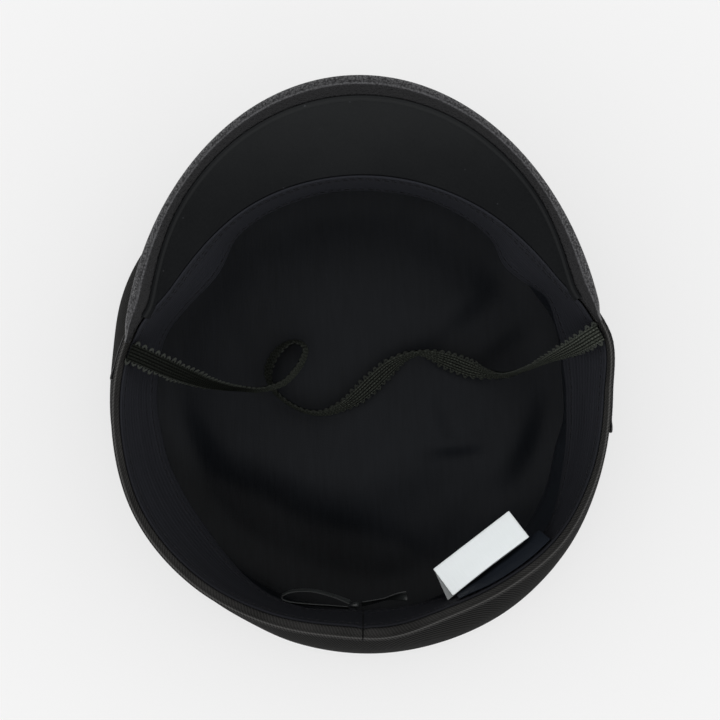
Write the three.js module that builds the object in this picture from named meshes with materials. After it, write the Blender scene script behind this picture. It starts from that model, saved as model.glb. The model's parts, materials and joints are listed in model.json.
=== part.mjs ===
// A child's conductor cap, lying upside down on its flat crown.
//
// The frame: millimetres, +Z up. The origin is the middle of the crown's flat face, which rests on
// z = 0. +Y points to the visor, so the visor rises to the front, and the head goes in from above.
// Angles run counterclockwise round the Z axis from +X, so the middle of the visor is at 90.

import * as THREE from "three";

// ---- Driving dimensions ----
const STEPS = 54; // facets round the head
const RIM_Z = 80; // the folded rim, where the head goes in
const BAND_LOW_Z = 43; // the band's other edge, where the crown comes out of it
const CROWN_BULGE_Z = 20; // where the crown is widest
const TWILL = 1.2; // one layer of the crown's twill with its fusing
const BAND_WALL = 1.8; // the band: twill, interfacing and its turned-in layer
const LINING_WALL = 1.0;
const SEAM_GAP = 0.35; // between pieces that are sewn face to face

const TAPE_TOP_Z = 78.3; // the sweatband's sewn edge
const TAPE_LOW_Z = 49.5; // and its free edge
const TAPE_WALL = 1.0;
const TAPE_FRONT_LIFT = 4.0; // the sewn edge climbs this much over the visor's root

const VISOR_FRONT_Y = 120.2; // the visor's outline is an ellipse
const VISOR_HALF_WIDTH = 90;
const VISOR_MIDDLE_Y = 5.2;
const VISOR_RIGHT = 17; // the angles of its two ends
const VISOR_LEFT = 162;
const VISOR_END_ROUND = 6; // each end is rounded over this many degrees
const VISOR_BOARD = 1.8; // board with its covering
const VISOR_EDGE = 2.9; // the same where the covering is turned over the edge
const VISOR_TURNING = 7.7; // how far the covering is turned in at the front
const VISOR_TURNING_SIDE = 5.7;
const VISOR_ASIDE = 0.005; // share by which it stands further out on the wearer's right
const VISOR_SLOPE = 0.53; // how fast it rises away from the band
const FACING_WALL = 0.8; // the cloth glued inside the turned edge
const FACING_END = 8; // degrees of the visor's ends that have no facing

const STRAP_WIDTH = 11;
const STRAP_TOP_Z = 73.5;
const STRAP_WALL = 1.0;
const STRAP_GAP = 0.6; // the strap is loose enough to stand this far off the band
const STRAP_RIGHT = -9.5; // the angles of its two ends
const STRAP_LEFT = 171;
const STRAP_NUB = 2.2; // degrees of each end that are folded double
const STRAP_END_WALL = 1.7;

const ELASTIC_WIDTH = 7.5;
const ELASTIC_THICK = 1.0;
const ELASTIC_STEPS = 72;

// ---- Tables: one row for each place round the head ----
// rim: radius of the band's outside at the rim. turned: how much of its turned-in edge shows.
const RIM = [
  { at: 0, rim: 89.8, turned: 2.2 },
  { at: 12, rim: 92.9, turned: 1.9 },
  { at: 20, rim: 91.2, turned: 2.8 },
  { at: 32, rim: 87.6, turned: 3.0 },
  { at: 60, rim: 87.6, turned: 3.0 },
  { at: 90, rim: 88.6, turned: 3.0 },
  { at: 115, rim: 89.2, turned: 3.0 },
  { at: 145, rim: 88.0, turned: 3.0 },
  { at: 158, rim: 92.4, turned: 2.8 },
  { at: 168, rim: 94.2, turned: 2.6 },
  { at: 185, rim: 94.8, turned: 2.8 },
  { at: 202, rim: 95.0, turned: 3.0 },
  { at: 222, rim: 92.4, turned: 3.4 },
  { at: 240, rim: 88.9, turned: 3.8 },
  { at: 258, rim: 86.0, turned: 4.2 },
  { at: 272, rim: 86.0, turned: 4.4 },
  { at: 288, rim: 83.6, turned: 3.6 },
  { at: 304, rim: 84.9, turned: 3.2 },
  { at: 322, rim: 88.2, turned: 3.0 },
  { at: 338, rim: 88.9, turned: 2.6 },
];

// bulge: radius of the crown where it is widest.
const CROWN = [
  { at: 0, bulge: 94.8 },
  { at: 30, bulge: 97.0 },
  { at: 60, bulge: 99.0 },
  { at: 90, bulge: 100.5 },
  { at: 120, bulge: 103.4 },
  { at: 140, bulge: 105.5 },
  { at: 152, bulge: 104.8 },
  { at: 166, bulge: 101.2 },
  { at: 184, bulge: 99.8 },
  { at: 204, bulge: 98.8 },
  { at: 222, bulge: 97.3 },
  { at: 237, bulge: 96.3 },
  { at: 250, bulge: 97.2 },
  { at: 270, bulge: 97.2 },
  { at: 300, bulge: 97.0 },
  { at: 320, bulge: 96.0 },
  { at: 338, bulge: 94.8 },
];

// free: radius of the sweatband's free edge, which waves in and out.
const TAPE = [
  { at: 0, free: 74.8 },
  { at: 18, free: 77.0 },
  { at: 28, free: 78.8 },
  { at: 36, free: 74.9 },
  { at: 43, free: 74.0 },
  { at: 50, free: 78.0 },
  { at: 62, free: 80.2 },
  { at: 90, free: 81.6 },
  { at: 112, free: 82.0 },
  { at: 125, free: 80.2 },
  { at: 133, free: 76.0 },
  { at: 140, free: 75.4 },
  { at: 149, free: 77.8 },
  { at: 158, free: 80.8 },
  { at: 172, free: 79.6 },
  { at: 190, free: 78.2 },
  { at: 206, free: 76.8 },
  { at: 218, free: 76.8 },
  { at: 232, free: 79.2 },
  { at: 244, free: 80.6 },
  { at: 264, free: 77.3 },
  { at: 282, free: 77.4 },
  { at: 300, free: 78.6 },
  { at: 322, free: 81.6 },
  { at: 340, free: 76.9 },
];

// sag: how far the slack lining hangs in from the wall.
const SLACK = [
  { at: 0, sag: 10 },
  { at: 25, sag: 8 },
  { at: 55, sag: 3 },
  { at: 90, sag: 2 },
  { at: 140, sag: 5 },
  { at: 175, sag: 3 },
  { at: 215, sag: 6 },
  { at: 265, sag: 2 },
  { at: 305, sag: 4 },
  { at: 335, sag: 9 },
];

// The folds of the lining's top, each a long hill (or a valley, where rise is below 0).
const FOLDS = [
  { x: -25, y: -19, turn: -29, length: 40, width: 15, rise: 3.0 },
  { x: -41, y: -36, turn: -37, length: 37, width: 8, rise: -3.0 },
  { x: -36, y: -58, turn: -22, length: 24, width: 9, rise: 4.0 },
  { x: -6, y: -68, turn: -10, length: 16, width: 7, rise: -2.0 },
  { x: 0, y: 52, turn: 0, length: 40, width: 22, rise: 3.0 },
  { x: 41, y: 44, turn: 12, length: 20, width: 8, rise: 3.0 },
  { x: 38, y: 34, turn: 22, length: 17, width: 5, rise: -2.5 },
  { x: 56, y: 28, turn: 17, length: 14, width: 5, rise: 3.5 },
  { x: 37, y: -3, turn: 5, length: 24, width: 6, rise: 1.8 },
  { x: 34, y: -16, turn: -35, length: 17, width: 3.5, rise: -1.8 },
  { x: 59, y: -13, turn: 62, length: 18, width: 7, rise: 4.5 },
  { x: 66, y: -21, turn: 66, length: 16, width: 4, rise: -3.0 },
  { x: 53, y: -37, turn: 20, length: 20, width: 4, rise: -3.0 },
  { x: 40, y: -50, turn: 20, length: 24, width: 8, rise: 3.5 },
];

// The chin elastic, from its sewn end on the left to the one on the right.
// lean: 0 where it lies flat, 90 where it stands on its edge.
const ELASTIC = [
  { x: -86.4, y: 25.2, z: 79.2, lean: 0 },
  { x: -80.9, y: 22.5, z: 78.4, lean: 8 },
  { x: -74.1, y: 18.8, z: 72.5, lean: 15 },
  { x: -66.8, y: 15.0, z: 62.0, lean: 35 },
  { x: -60.2, y: 11.9, z: 50.0, lean: 55 },
  { x: -54.0, y: 10.0, z: 40.5, lean: 70 },
  { x: -47.6, y: 8.8, z: 33.0, lean: 78 },
  { x: -40.5, y: 8.2, z: 27.0, lean: 80 },
  { x: -32.0, y: 10.5, z: 21.5, lean: 76 },
  { x: -25.5, y: 16.8, z: 16.0, lean: 75 },
  { x: -23.2, y: 23.3, z: 13.6, lean: 80 },
  { x: -27.5, y: 26.0, z: 13.0, lean: 84 },
  { x: -33.8, y: 22.7, z: 12.5, lean: 70 },
  { x: -37.8, y: 16.2, z: 12.2, lean: 66 },
  { x: -37.4, y: 9.5, z: 12.0, lean: 78 },
  { x: -33.0, y: 3.8, z: 12.0, lean: 82 },
  { x: -25.8, y: -0.9, z: 12.0, lean: 82 },
  { x: -18.0, y: -2.5, z: 12.0, lean: 76 },
  { x: -10.0, y: -0.2, z: 11.6, lean: 60 },
  { x: -3.9, y: 3.3, z: 11.0, lean: 36 },
  { x: 2.2, y: 8.1, z: 10.6, lean: 22 },
  { x: 8.8, y: 13.6, z: 10.8, lean: 36 },
  { x: 14.5, y: 17.2, z: 11.4, lean: 62 },
  { x: 20.9, y: 18.9, z: 12.0, lean: 80 },
  { x: 26.7, y: 17.7, z: 12.0, lean: 60 },
  { x: 34.0, y: 14.6, z: 11.4, lean: 28 },
  { x: 40.9, y: 11.5, z: 11.6, lean: 32 },
  { x: 47.8, y: 9.5, z: 15.0, lean: 64 },
  { x: 53.9, y: 8.8, z: 24.0, lean: 80 },
  { x: 59.8, y: 10.1, z: 37.0, lean: 80 },
  { x: 65.9, y: 12.5, z: 50.5, lean: 72 },
  { x: 71.6, y: 15.1, z: 62.5, lean: 52 },
  { x: 77.8, y: 18.0, z: 72.5, lean: 28 },
  { x: 82.4, y: 20.6, z: 78.4, lean: 8 },
  { x: 86.6, y: 22.8, z: 79.2, lean: 0 },
];

// The size-adjusting ribbon's bow at the back, in rows like the elastic's.
const BOW_LOOP = [
  { x: -10.8, y: -74.2, z: 48.2, lean: 70 },
  { x: -17.0, y: -71.4, z: 47.6, lean: 76 },
  { x: -25.0, y: -69.0, z: 47.2, lean: 78 },
  { x: -32.5, y: -68.8, z: 47.2, lean: 80 },
  { x: -36.8, y: -70.6, z: 47.2, lean: 84 },
  { x: -34.0, y: -72.6, z: 47.2, lean: 80 },
  { x: -26.0, y: -74.0, z: 47.2, lean: 78 },
  { x: -18.0, y: -75.0, z: 47.6, lean: 76 },
  { x: -11.4, y: -76.0, z: 48.2, lean: 70 },
];
const BOW_TAIL = [
  { x: -6.6, y: -74.8, z: 48.2, lean: 60 },
  { x: -2.0, y: -74.2, z: 47.8, lean: 66 },
  { x: 2.6, y: -73.4, z: 47.8, lean: 74 },
  { x: 6.8, y: -72.8, z: 48.4, lean: 46 },
  { x: 10.9, y: -72.7, z: 49.4, lean: 6 },
];
const RIBBON_WIDTH = 4.0;
const RIBBON_THICK = 0.5;
const KNOT = { x: -9.0, y: -75.2, z: 48.2, across: 1.9, along: 1.3, tall: 2.4 };

// The two labels at the back right. Both are sewn behind the rim and hang in.
const LABEL_FROM = 292;
const LABEL_TO = 321;
const LABEL_WALL = 0.6;
const LABEL_TOP_Z = 76.5;
const LABEL_LOW_Z = 61.5;
const LABEL_LOW_INSIDE = 76.2; // its free edge is straight, this far from the axis behind the tag
const LABEL_SEAT = 1.75; // its sewn edge lies this far inside the sweatband's seam
const TAG_WIDTH = 35;
const TAG_LEAF = 15; // the folded tag's length from its open end to its fold
const TAG_WALL = 0.6;
const TAG_OPEN = 3.2; // how far its two leaves stand apart at the open end
const TAG_SKEW = 2; // how far its lower leaf is askew at its end
const TAG_PLACE = { angle: 304.6, radius: 75.6, z: 65, dip: 36 };

// ---- Curves ----
const DEG = Math.PI / 180;

// A smooth closed curve through one column of a table that goes once round.
function around(rows, column) {
  const count = rows.length;
  const row = (i) => {
    const turns = Math.floor(i / count);
    return { at: rows[i - turns * count].at + 360 * turns, value: rows[i - turns * count][column] };
  };
  return (angle) => {
    const a = THREE.MathUtils.euclideanModulo(angle, 360);
    let k = count - 1;
    while (rows[k].at > a) {
      k -= 1;
    }
    const [before, from, to, after] = [row(k - 1), row(k), row(k + 1), row(k + 2)];
    const span = to.at - from.at;
    const t = (a - from.at) / span;
    const leaving = ((to.value - before.value) / (to.at - before.at)) * span;
    const arriving = ((after.value - from.value) / (after.at - from.at)) * span;
    const bend = from.value - to.value;
    return from.value + t * leaving + t * t * (-3 * bend - 2 * leaving - arriving)
      + t * t * t * (2 * bend + leaving + arriving);
  };
}

const rim = around(RIM, "rim");
const turned = around(RIM, "turned");
const bulge = around(CROWN, "bulge");
const freeEdge = around(TAPE, "free");
const sag = around(SLACK, "sag");
const sewn = (angle) => rim(angle) - turned(angle); // the line where the sweatband is sewn
const { smoothstep, lerp } = THREE.MathUtils;

// 1 over the visor's root, 0 at the back, easing in between.
function overVisor(angle) {
  const easing = 12; // degrees
  const begun = smoothstep(angle, VISOR_RIGHT, VISOR_RIGHT + easing);
  const ended = smoothstep(angle, VISOR_LEFT - easing, VISOR_LEFT);
  return begun * (1 - ended);
}

// ---- Builders ----
function polar(radius, angle, z) {
  return new THREE.Vector3(radius * Math.cos(angle * DEG), radius * Math.sin(angle * DEG), z);
}

// Moves every point of a geometry to where place() says.
function reshape(geometry, place) {
  const points = geometry.attributes.position;
  for (let i = 0; i < points.count; i += 1) {
    const moved = place(points.getX(i), points.getY(i), points.getZ(i));
    points.setXYZ(i, moved.x, moved.y, moved.z);
  }
  geometry.computeVertexNormals();
  return geometry;
}

// A wall that goes all the way round. corners(angle) lists its section as [radius, height]:
// up the outside and down the inside for a ring, or from axis to axis, underside first, for a disc.
function turnedWall(corners, isRing) {
  const count = corners(0).length;
  const profile = Array.from({ length: isRing ? count + 1 : count }, (_, i) => new THREE.Vector2(1, i));
  return reshape(new THREE.LatheGeometry(profile, STEPS), (x, y, z) => {
    const step = Math.round((Math.atan2(x, z) / (2 * Math.PI)) * STEPS);
    const angle = (360 * THREE.MathUtils.euclideanModulo(step, STEPS)) / STEPS;
    const [radius, height] = corners(angle)[Math.round(y) % count];
    return polar(radius, angle, height);
  });
}

// A block of nu x nv x nw cells, bent so that place(u, v, w) holds each point of the unit cube.
function bentBlock(nu, nv, nw, place) {
  const block = new THREE.BoxGeometry(1, 1, 1, nu, nv, nw).translate(0.5, 0.5, 0.5);
  const snap = (share, cells) => Math.round(share * cells) / cells;
  return reshape(block, (x, y, z) => place(snap(x, nu), snap(y, nv), snap(z, nw)));
}

// A flat band along a route, turned about its own length by the route's lean.
function flatBand(rows, width, thick, steps, edgeShare) {
  const points = rows.map((row) => new THREE.Vector3(row.x, row.y, row.z));
  const route = new THREE.CatmullRomCurve3(points, false, "centripetal");
  const up = new THREE.Vector3(0, 0, 1);
  return bentBlock(steps, 3, 1, (u, v, w) => {
    const t = route.getUtoTmapping(u);
    const place = t * (rows.length - 1);
    const k = Math.min(Math.floor(place), rows.length - 2);
    const lean = lerp(rows[k].lean, rows[k + 1].lean, place - k) * DEG;
    const along = route.getTangent(t);
    const flat = new THREE.Vector3().crossVectors(up, along).normalize();
    const raised = new THREE.Vector3().crossVectors(along, flat);
    const across = flat.multiplyScalar(Math.cos(lean)).addScaledVector(raised, Math.sin(lean));
    const normal = new THREE.Vector3().crossVectors(along, across);
    const full = v > 0.01 && v < 0.99 ? 1 : edgeShare;
    return route.getPoint(t)
      .addScaledVector(across, (v - 0.5) * width)
      .addScaledVector(normal, (w - 0.5) * thick * full);
  });
}

const cap = new THREE.Group();
cap.name = "conductor_cap";

function addPiece(name, geometry, color, roughness) {
  const material = new THREE.MeshStandardMaterial({ color, roughness, metalness: 0 });
  const piece = new THREE.Mesh(geometry, material);
  piece.name = name;
  cap.add(piece);
}

const TWILL_BLACK = 0x2b2b2a;
const RIBBED_NAVY = 0x1c1d24;
const LINING_BLACK = 0x141618;
const PEBBLED_BLACK = 0x1c1d1f;
const ELASTIC_OLIVE = 0x23261f;
const SATIN_BLACK = 0x202322;
const WOVEN_NAVY = 0x16202c;
const SATIN_WHITE = 0xe2e6ea;

// ---- Crown: a flat top, and a side that bulges out past the band ----
// The top's section from its flat part to its seam: underside first, then back along the inside.
// in: how far inside the crown's bulge.
const CROWN_TOP = [
  { z: 0, in: 16 },
  { z: 0.7, in: 11 },
  { z: 2.3, in: 7.6 },
  { z: 3.9, in: 5.6 },
  { z: 5.0, in: 6.6 },
  { z: 3.4, in: 8.6 },
  { z: 2.1, in: 11.6 },
  { z: 1.6, in: 16 },
];

addPiece("crown_top", turnedWall((angle) => {
  const section = CROWN_TOP.map((row) => [bulge(angle) - row.in, row.z]);
  return [[0, CROWN_TOP[0].z], ...section, [0, CROWN_TOP[CROWN_TOP.length - 1].z]];
}, false), TWILL_BLACK, 0.9);

// share: how far out between the band and the bulge. in: how far inside the bulge.
const CROWN_SIDE = [
  { z: 4.4, share: 1, in: 5.1 },
  { z: 7.6, share: 1, in: 2.6 },
  { z: 12.5, share: 1, in: 0.8 },
  { z: CROWN_BULGE_Z, share: 1, in: 0 },
  { z: 29, share: 0.82, in: 0 },
  { z: 37, share: 0.36, in: 0 },
  { z: 42.4, share: 0, in: 0 },
  { z: 47, share: 0, in: 0.1 },
];
const HEM_IN = 1.5; // the crown's hem lies this far inside the rim's radius, behind the band

function crownRadius(angle, row) {
  return lerp(rim(angle) - HEM_IN, bulge(angle), row.share) - row.in;
}

addPiece("crown_side", turnedWall((angle) => {
  const outside = CROWN_SIDE.map((row) => [crownRadius(angle, row), row.z]);
  const inside = CROWN_SIDE.map((row, i) => {
    const a = CROWN_SIDE[Math.max(i - 1, 0)];
    const b = CROWN_SIDE[Math.min(i + 1, CROWN_SIDE.length - 1)];
    const along = new THREE.Vector2(crownRadius(angle, b) - crownRadius(angle, a), b.z - a.z).normalize();
    return [crownRadius(angle, row) - TWILL * along.y, row.z + TWILL * along.x];
  });
  return [...outside, ...inside.reverse()];
}, true), TWILL_BLACK, 0.9);

// ---- Head band: an upright wall whose rim is turned in ----
const BAND_SPREAD = 0.8; // it is this much wider where the crown comes out of it

// Its section, up the outside, over the rim and down the inside.
// turned: the share of the turned-in edge. in: how far inside the rim's radius besides.
const BAND_SIDE = [
  { z: BAND_LOW_Z, turned: 0, in: -BAND_SPREAD },
  { z: RIM_Z - 1.8, turned: 0, in: 0 },
  { z: RIM_Z - 0.4, turned: 0, in: 0.6 },
  { z: RIM_Z, turned: 0, in: 1.5 },
  { z: RIM_Z - 0.7, turned: 1, in: -0.5 },
  { z: RIM_Z - 1.7, turned: 1, in: 0 },
  { z: RIM_Z - 5, turned: 1, in: 0 },
  { z: RIM_Z - 9, turned: 0, in: BAND_WALL },
  { z: BAND_LOW_Z, turned: 0, in: BAND_WALL - BAND_SPREAD },
];

addPiece("head_band", turnedWall((angle) => {
  return BAND_SIDE.map((row) => [rim(angle) - row.turned * turned(angle) - row.in, row.z]);
}, true), TWILL_BLACK, 0.9);

// ---- Sweatband: a ribbed tape, sewn behind the rim, whose free edge leans in ----
const TAPE_ROWS = [0, 0.3, 0.65, 1]; // how far down from the sewn edge

function tapeRadius(angle, down) {
  return lerp(sewn(angle) - SEAM_GAP, freeEdge(angle) + TAPE_WALL, Math.pow(down, 1.2));
}

function tapeHeight(angle, down) {
  return lerp(TAPE_TOP_Z + TAPE_FRONT_LIFT * overVisor(angle), TAPE_LOW_Z, down);
}

addPiece("sweatband", turnedWall((angle) => {
  const outside = TAPE_ROWS.map((down) => [tapeRadius(angle, down), tapeHeight(angle, down)]);
  const inside = outside.map(([radius, height]) => [radius - TAPE_WALL, height]);
  return [...outside.reverse(), ...inside];
}, true), RIBBED_NAVY, 0.85);

// ---- Lining: a side that hangs slack, and a top that lies in folds on the crown ----
const LINING_TOP_Z = 70;
const LINING_HEM_Z = 7.4;
const LINING_SIDE = [
  { z: LINING_HEM_Z, toFloor: 1, slack: 0 },
  { z: 16, toFloor: 0.75, slack: 0.55 },
  { z: 26, toFloor: 0.4, slack: 1 },
  { z: 37, toFloor: 0.06, slack: 0.72 },
  { z: 48, toFloor: 0, slack: 0 },
  { z: LINING_TOP_Z, toFloor: 0, slack: 0 },
];
const LINING_IN = 3.1; // the lining's outside lies this far inside the rim's radius low down
const LINING_IN_TOP = 2.3;
const FLOOR_IN = 11.6; // the seam between the lining's side and top, inside the bulge

addPiece("lining_side", turnedWall((angle) => {
  const outside = LINING_SIDE.map((row) => {
    const wall = rim(angle) - (row.z === LINING_TOP_Z ? LINING_IN_TOP : LINING_IN);
    return [lerp(wall, bulge(angle) - FLOOR_IN, row.toFloor) - sag(angle) * row.slack, row.z];
  });
  const inside = outside.map(([radius, height]) => [radius - LINING_WALL, height]);
  return [...outside, ...inside.reverse()];
}, true), LINING_BLACK, 0.8);

const FLOOR_Z = 5.2; // the lining's top lies at about this height between its folds
const FLOOR_RINGS = [0.22, 0.44, 0.64, 0.82, 1];

function floorHeight(x, y) {
  const rises = FOLDS.map((fold) => {
    const along = (x - fold.x) * Math.cos(fold.turn * DEG) + (y - fold.y) * Math.sin(fold.turn * DEG);
    const across = (y - fold.y) * Math.cos(fold.turn * DEG) - (x - fold.x) * Math.sin(fold.turn * DEG);
    return fold.rise * Math.exp(-((along / fold.length) ** 2) - (across / fold.width) ** 2);
  });
  return FLOOR_Z + rises.reduce((sum, rise) => sum + rise, 0);
}

addPiece("lining_top", turnedWall((angle) => {
  const edge = bulge(angle) - FLOOR_IN - 1.0;
  const over = FLOOR_RINGS.map((share) => {
    const at = polar(edge * share, angle, 0);
    const level = lerp(floorHeight(at.x, at.y), LINING_HEM_Z - SEAM_GAP, smoothstep(share, 0.8, 1));
    return [edge * share, Math.max(level, 3.2)];
  });
  const under = over.map(([radius, height]) => [radius, height - LINING_WALL]);
  const middle = floorHeight(0, 0);
  return [[0, middle - LINING_WALL], ...under, ...over.reverse(), [0, middle]];
}, false), LINING_BLACK, 0.8);

// ---- Visor: a covered board that rises to the front, and the facing glued inside its edge ----

// 0 at the visor's two ends and 1 where its depth is full, along a quarter circle between.
function visorDepth(angle) {
  const fromEnd = Math.min(angle - VISOR_RIGHT, VISOR_LEFT - angle) / VISOR_END_ROUND;
  return Math.sin(Math.min(fromEnd, 1) * 0.5 * Math.PI);
}

// Where a ray from the axis at this angle meets the visor's elliptical outline.
function visorOutline(angle) {
  const across = Math.cos(angle * DEG) / VISOR_HALF_WIDTH;
  const halfLength = VISOR_FRONT_Y - VISOR_MIDDLE_Y;
  const ahead = Math.sin(angle * DEG) / halfLength;
  const back = VISOR_MIDDLE_Y / halfLength;
  const a = across * across + ahead * ahead;
  const b = ahead * back;
  const outline = (b + Math.sqrt(b * b - a * (back * back - 1))) / a;
  const full = outline * (1 - VISOR_ASIDE * Math.cos(angle * DEG));
  return lerp(sewn(angle) + 2, full, Math.max(visorDepth(angle), 0.1));
}

const VISOR_SEAT_Z = RIM_Z + SEAM_GAP; // the underside of the visor's root, on the band's rim
const VISOR_STEPS = 36;

// The visor's rows from its root to its edge. board and turning: the shares of the plain board and
// of the turned-in covering that lie behind the row. back: mm back from there.
const VISOR_ROWS = [
  { board: 0, turning: 0, back: 0, thick: VISOR_BOARD, lift: 0 },
  { board: 0.33, turning: 0, back: 0, thick: VISOR_BOARD, lift: 0 },
  { board: 0.67, turning: 0, back: 0, thick: VISOR_BOARD, lift: 0 },
  { board: 1, turning: 0, back: 0.3, thick: VISOR_BOARD, lift: 0 },
  { board: 1, turning: 0, back: 0, thick: VISOR_EDGE, lift: 0 },
  { board: 1, turning: 0.55, back: 0, thick: VISOR_EDGE, lift: 0 },
  { board: 1, turning: 1, back: 0.9, thick: VISOR_EDGE, lift: 0 },
  { board: 1, turning: 1, back: 0, thick: 1.4, lift: 0.6 },
];
const FACING_ROW = 3; // the facing ends before this row
const turning = (angle) => lerp(VISOR_TURNING_SIDE, VISOR_TURNING, Math.pow(Math.sin(angle * DEG), 12));

function visorRise(angle, radius) {
  const root = sewn(angle);
  const share = (radius - root) / (visorOutline(90) - sewn(90));
  return VISOR_SLOPE * (visorOutline(90) - sewn(90)) * Math.pow(Math.max(share, 0), 1.2);
}

function visorRadii(angle) {
  const root = sewn(angle) + 0.1;
  const edge = visorOutline(angle);
  const plain = edge - root - turning(angle); // the depth that is left for the plain board
  const step = root + 0.5 * (plain + Math.hypot(plain, 2)); // it never quite ends
  return VISOR_ROWS.map((row) => lerp(root, step, row.board) + (edge - step) * row.turning - row.back);
}

addPiece("visor", bentBlock(VISOR_STEPS, 1, VISOR_ROWS.length - 1, (u, v, w) => {
  const angle = lerp(VISOR_RIGHT, VISOR_LEFT, u);
  const k = Math.round(w * (VISOR_ROWS.length - 1));
  const radius = visorRadii(angle)[k];
  const row = VISOR_ROWS[k];
  return polar(radius, angle, VISOR_SEAT_Z + visorRise(angle, radius) + row.lift + v * row.thick);
}), PEBBLED_BLACK, 0.6);

const FACING_CELLS = 4;
addPiece("visor_facing", bentBlock(28, 1, FACING_CELLS, (u, v, w) => {
  const angle = lerp(VISOR_RIGHT + FACING_END, VISOR_LEFT - FACING_END, u);
  const radii = visorRadii(angle);
  const radius = lerp(radii[0] + 0.2, radii[FACING_ROW] - SEAM_GAP, w);
  const seat = VISOR_SEAT_Z + visorRise(angle, radius) + VISOR_BOARD + SEAM_GAP;
  return polar(radius, angle, seat + v * FACING_WALL);
}), LINING_BLACK, 0.9);

// ---- Front strap: a thin strip round the outside of the band, under the visor ----
const STRAP_CELLS = 34;
addPiece("front_strap", bentBlock(STRAP_CELLS, 1, 1, (u, v, w) => {
  const angle = lerp(STRAP_RIGHT, STRAP_LEFT, u);
  const fromEnd = Math.min(angle - STRAP_RIGHT, STRAP_LEFT - angle);
  const z = STRAP_TOP_Z - STRAP_WIDTH * (1 - v);
  const spread = BAND_SPREAD * ((STRAP_TOP_Z - z) / (STRAP_TOP_Z - BAND_LOW_Z));
  const wall = fromEnd < STRAP_NUB ? STRAP_END_WALL : STRAP_WALL;
  return polar(rim(angle) + STRAP_GAP + spread + w * wall, angle, z);
}), PEBBLED_BLACK, 0.6);

// ---- Chin elastic: sewn on at both ends, slack between ----
const elastic = flatBand(ELASTIC, ELASTIC_WIDTH, ELASTIC_THICK, ELASTIC_STEPS, 0.6);
addPiece("chin_elastic", elastic, ELASTIC_OLIVE, 0.85);

// ---- Bow of the size-adjusting ribbon ----
addPiece("ribbon_loop", flatBand(BOW_LOOP, RIBBON_WIDTH, RIBBON_THICK, 20, 1), SATIN_BLACK, 0.45);
addPiece("ribbon_tail", flatBand(BOW_TAIL, RIBBON_WIDTH, RIBBON_THICK, 8, 1), SATIN_BLACK, 0.45);
addPiece("ribbon_knot", new THREE.SphereGeometry(1, 12, 8)
  .scale(KNOT.across, KNOT.along, KNOT.tall)
  .translate(KNOT.x, KNOT.y, KNOT.z), SATIN_BLACK, 0.45);

// ---- Labels ----
addPiece("woven_label", bentBlock(10, 2, 1, (u, v, w) => {
  const angle = lerp(LABEL_FROM, LABEL_TO, u);
  const height = lerp(LABEL_LOW_Z, LABEL_TOP_Z, v);
  const low = LABEL_LOW_INSIDE / Math.cos((angle - TAG_PLACE.angle) * DEG);
  const radius = lerp(low, sewn(angle) - LABEL_SEAT, v);
  return polar(radius - LABEL_WALL * (1 - w), angle, height);
}), WOVEN_NAVY, 0.7);

// The tag is one strip folded in half. Its route, seen from the side: in from its open end along
// the upper leaf, round the fold, and back along the lower one.
const TAG_ROUTE = new THREE.CatmullRomCurve3([
  { inward: 0, up: 0.5 * TAG_OPEN },
  { inward: 0.5 * TAG_LEAF, up: 0.9 },
  { inward: TAG_LEAF - 0.8, up: 0.5 },
  { inward: TAG_LEAF, up: 0 },
  { inward: TAG_LEAF - 0.8, up: -0.5 },
  { inward: 0.5 * TAG_LEAF, up: -1.1 },
  { inward: 1.6, up: -0.5 * TAG_OPEN },
].map((row) => new THREE.Vector3(row.inward, row.up, 0)), false, "centripetal");

addPiece("name_tag", bentBlock(24, 1, 1, (u, v, w) => {
  const dip = TAG_PLACE.dip * DEG;
  const radial = polar(1, TAG_PLACE.angle, 0);
  const across = polar(1, TAG_PLACE.angle + 90, 0);
  const inward = radial.clone().multiplyScalar(-Math.cos(dip)).setZ(-Math.sin(dip));
  const upward = radial.clone().multiplyScalar(-Math.sin(dip)).setZ(Math.cos(dip));
  const at = TAG_ROUTE.getPointAt(u);
  const along = TAG_ROUTE.getTangentAt(u);
  const off = (w - 0.5) * TAG_WALL;
  const askew = at.y < 0 ? TAG_SKEW * (1 - at.x / TAG_LEAF) : 0;
  return polar(TAG_PLACE.radius, TAG_PLACE.angle, TAG_PLACE.z)
    .addScaledVector(inward, at.x - off * along.y)
    .addScaledVector(upward, at.y + off * along.x)
    .addScaledVector(across, (0.5 - v) * TAG_WIDTH - askew);
}), SATIN_WHITE, 0.6);

export default cap;
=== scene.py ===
# %% [markdown]
# # A conductor's cap, upside down on its flat crown
# The cap is twill, with a round flat crown, an upright band, a short stiff visor, a ribbed sweatband, a slack
# lining and a thin chin elastic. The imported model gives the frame: metres, Z up out of the head opening and Y
# towards the visor. Every piece below is built in that frame, so nothing has to be moved into place.

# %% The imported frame
import json
import math

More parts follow.
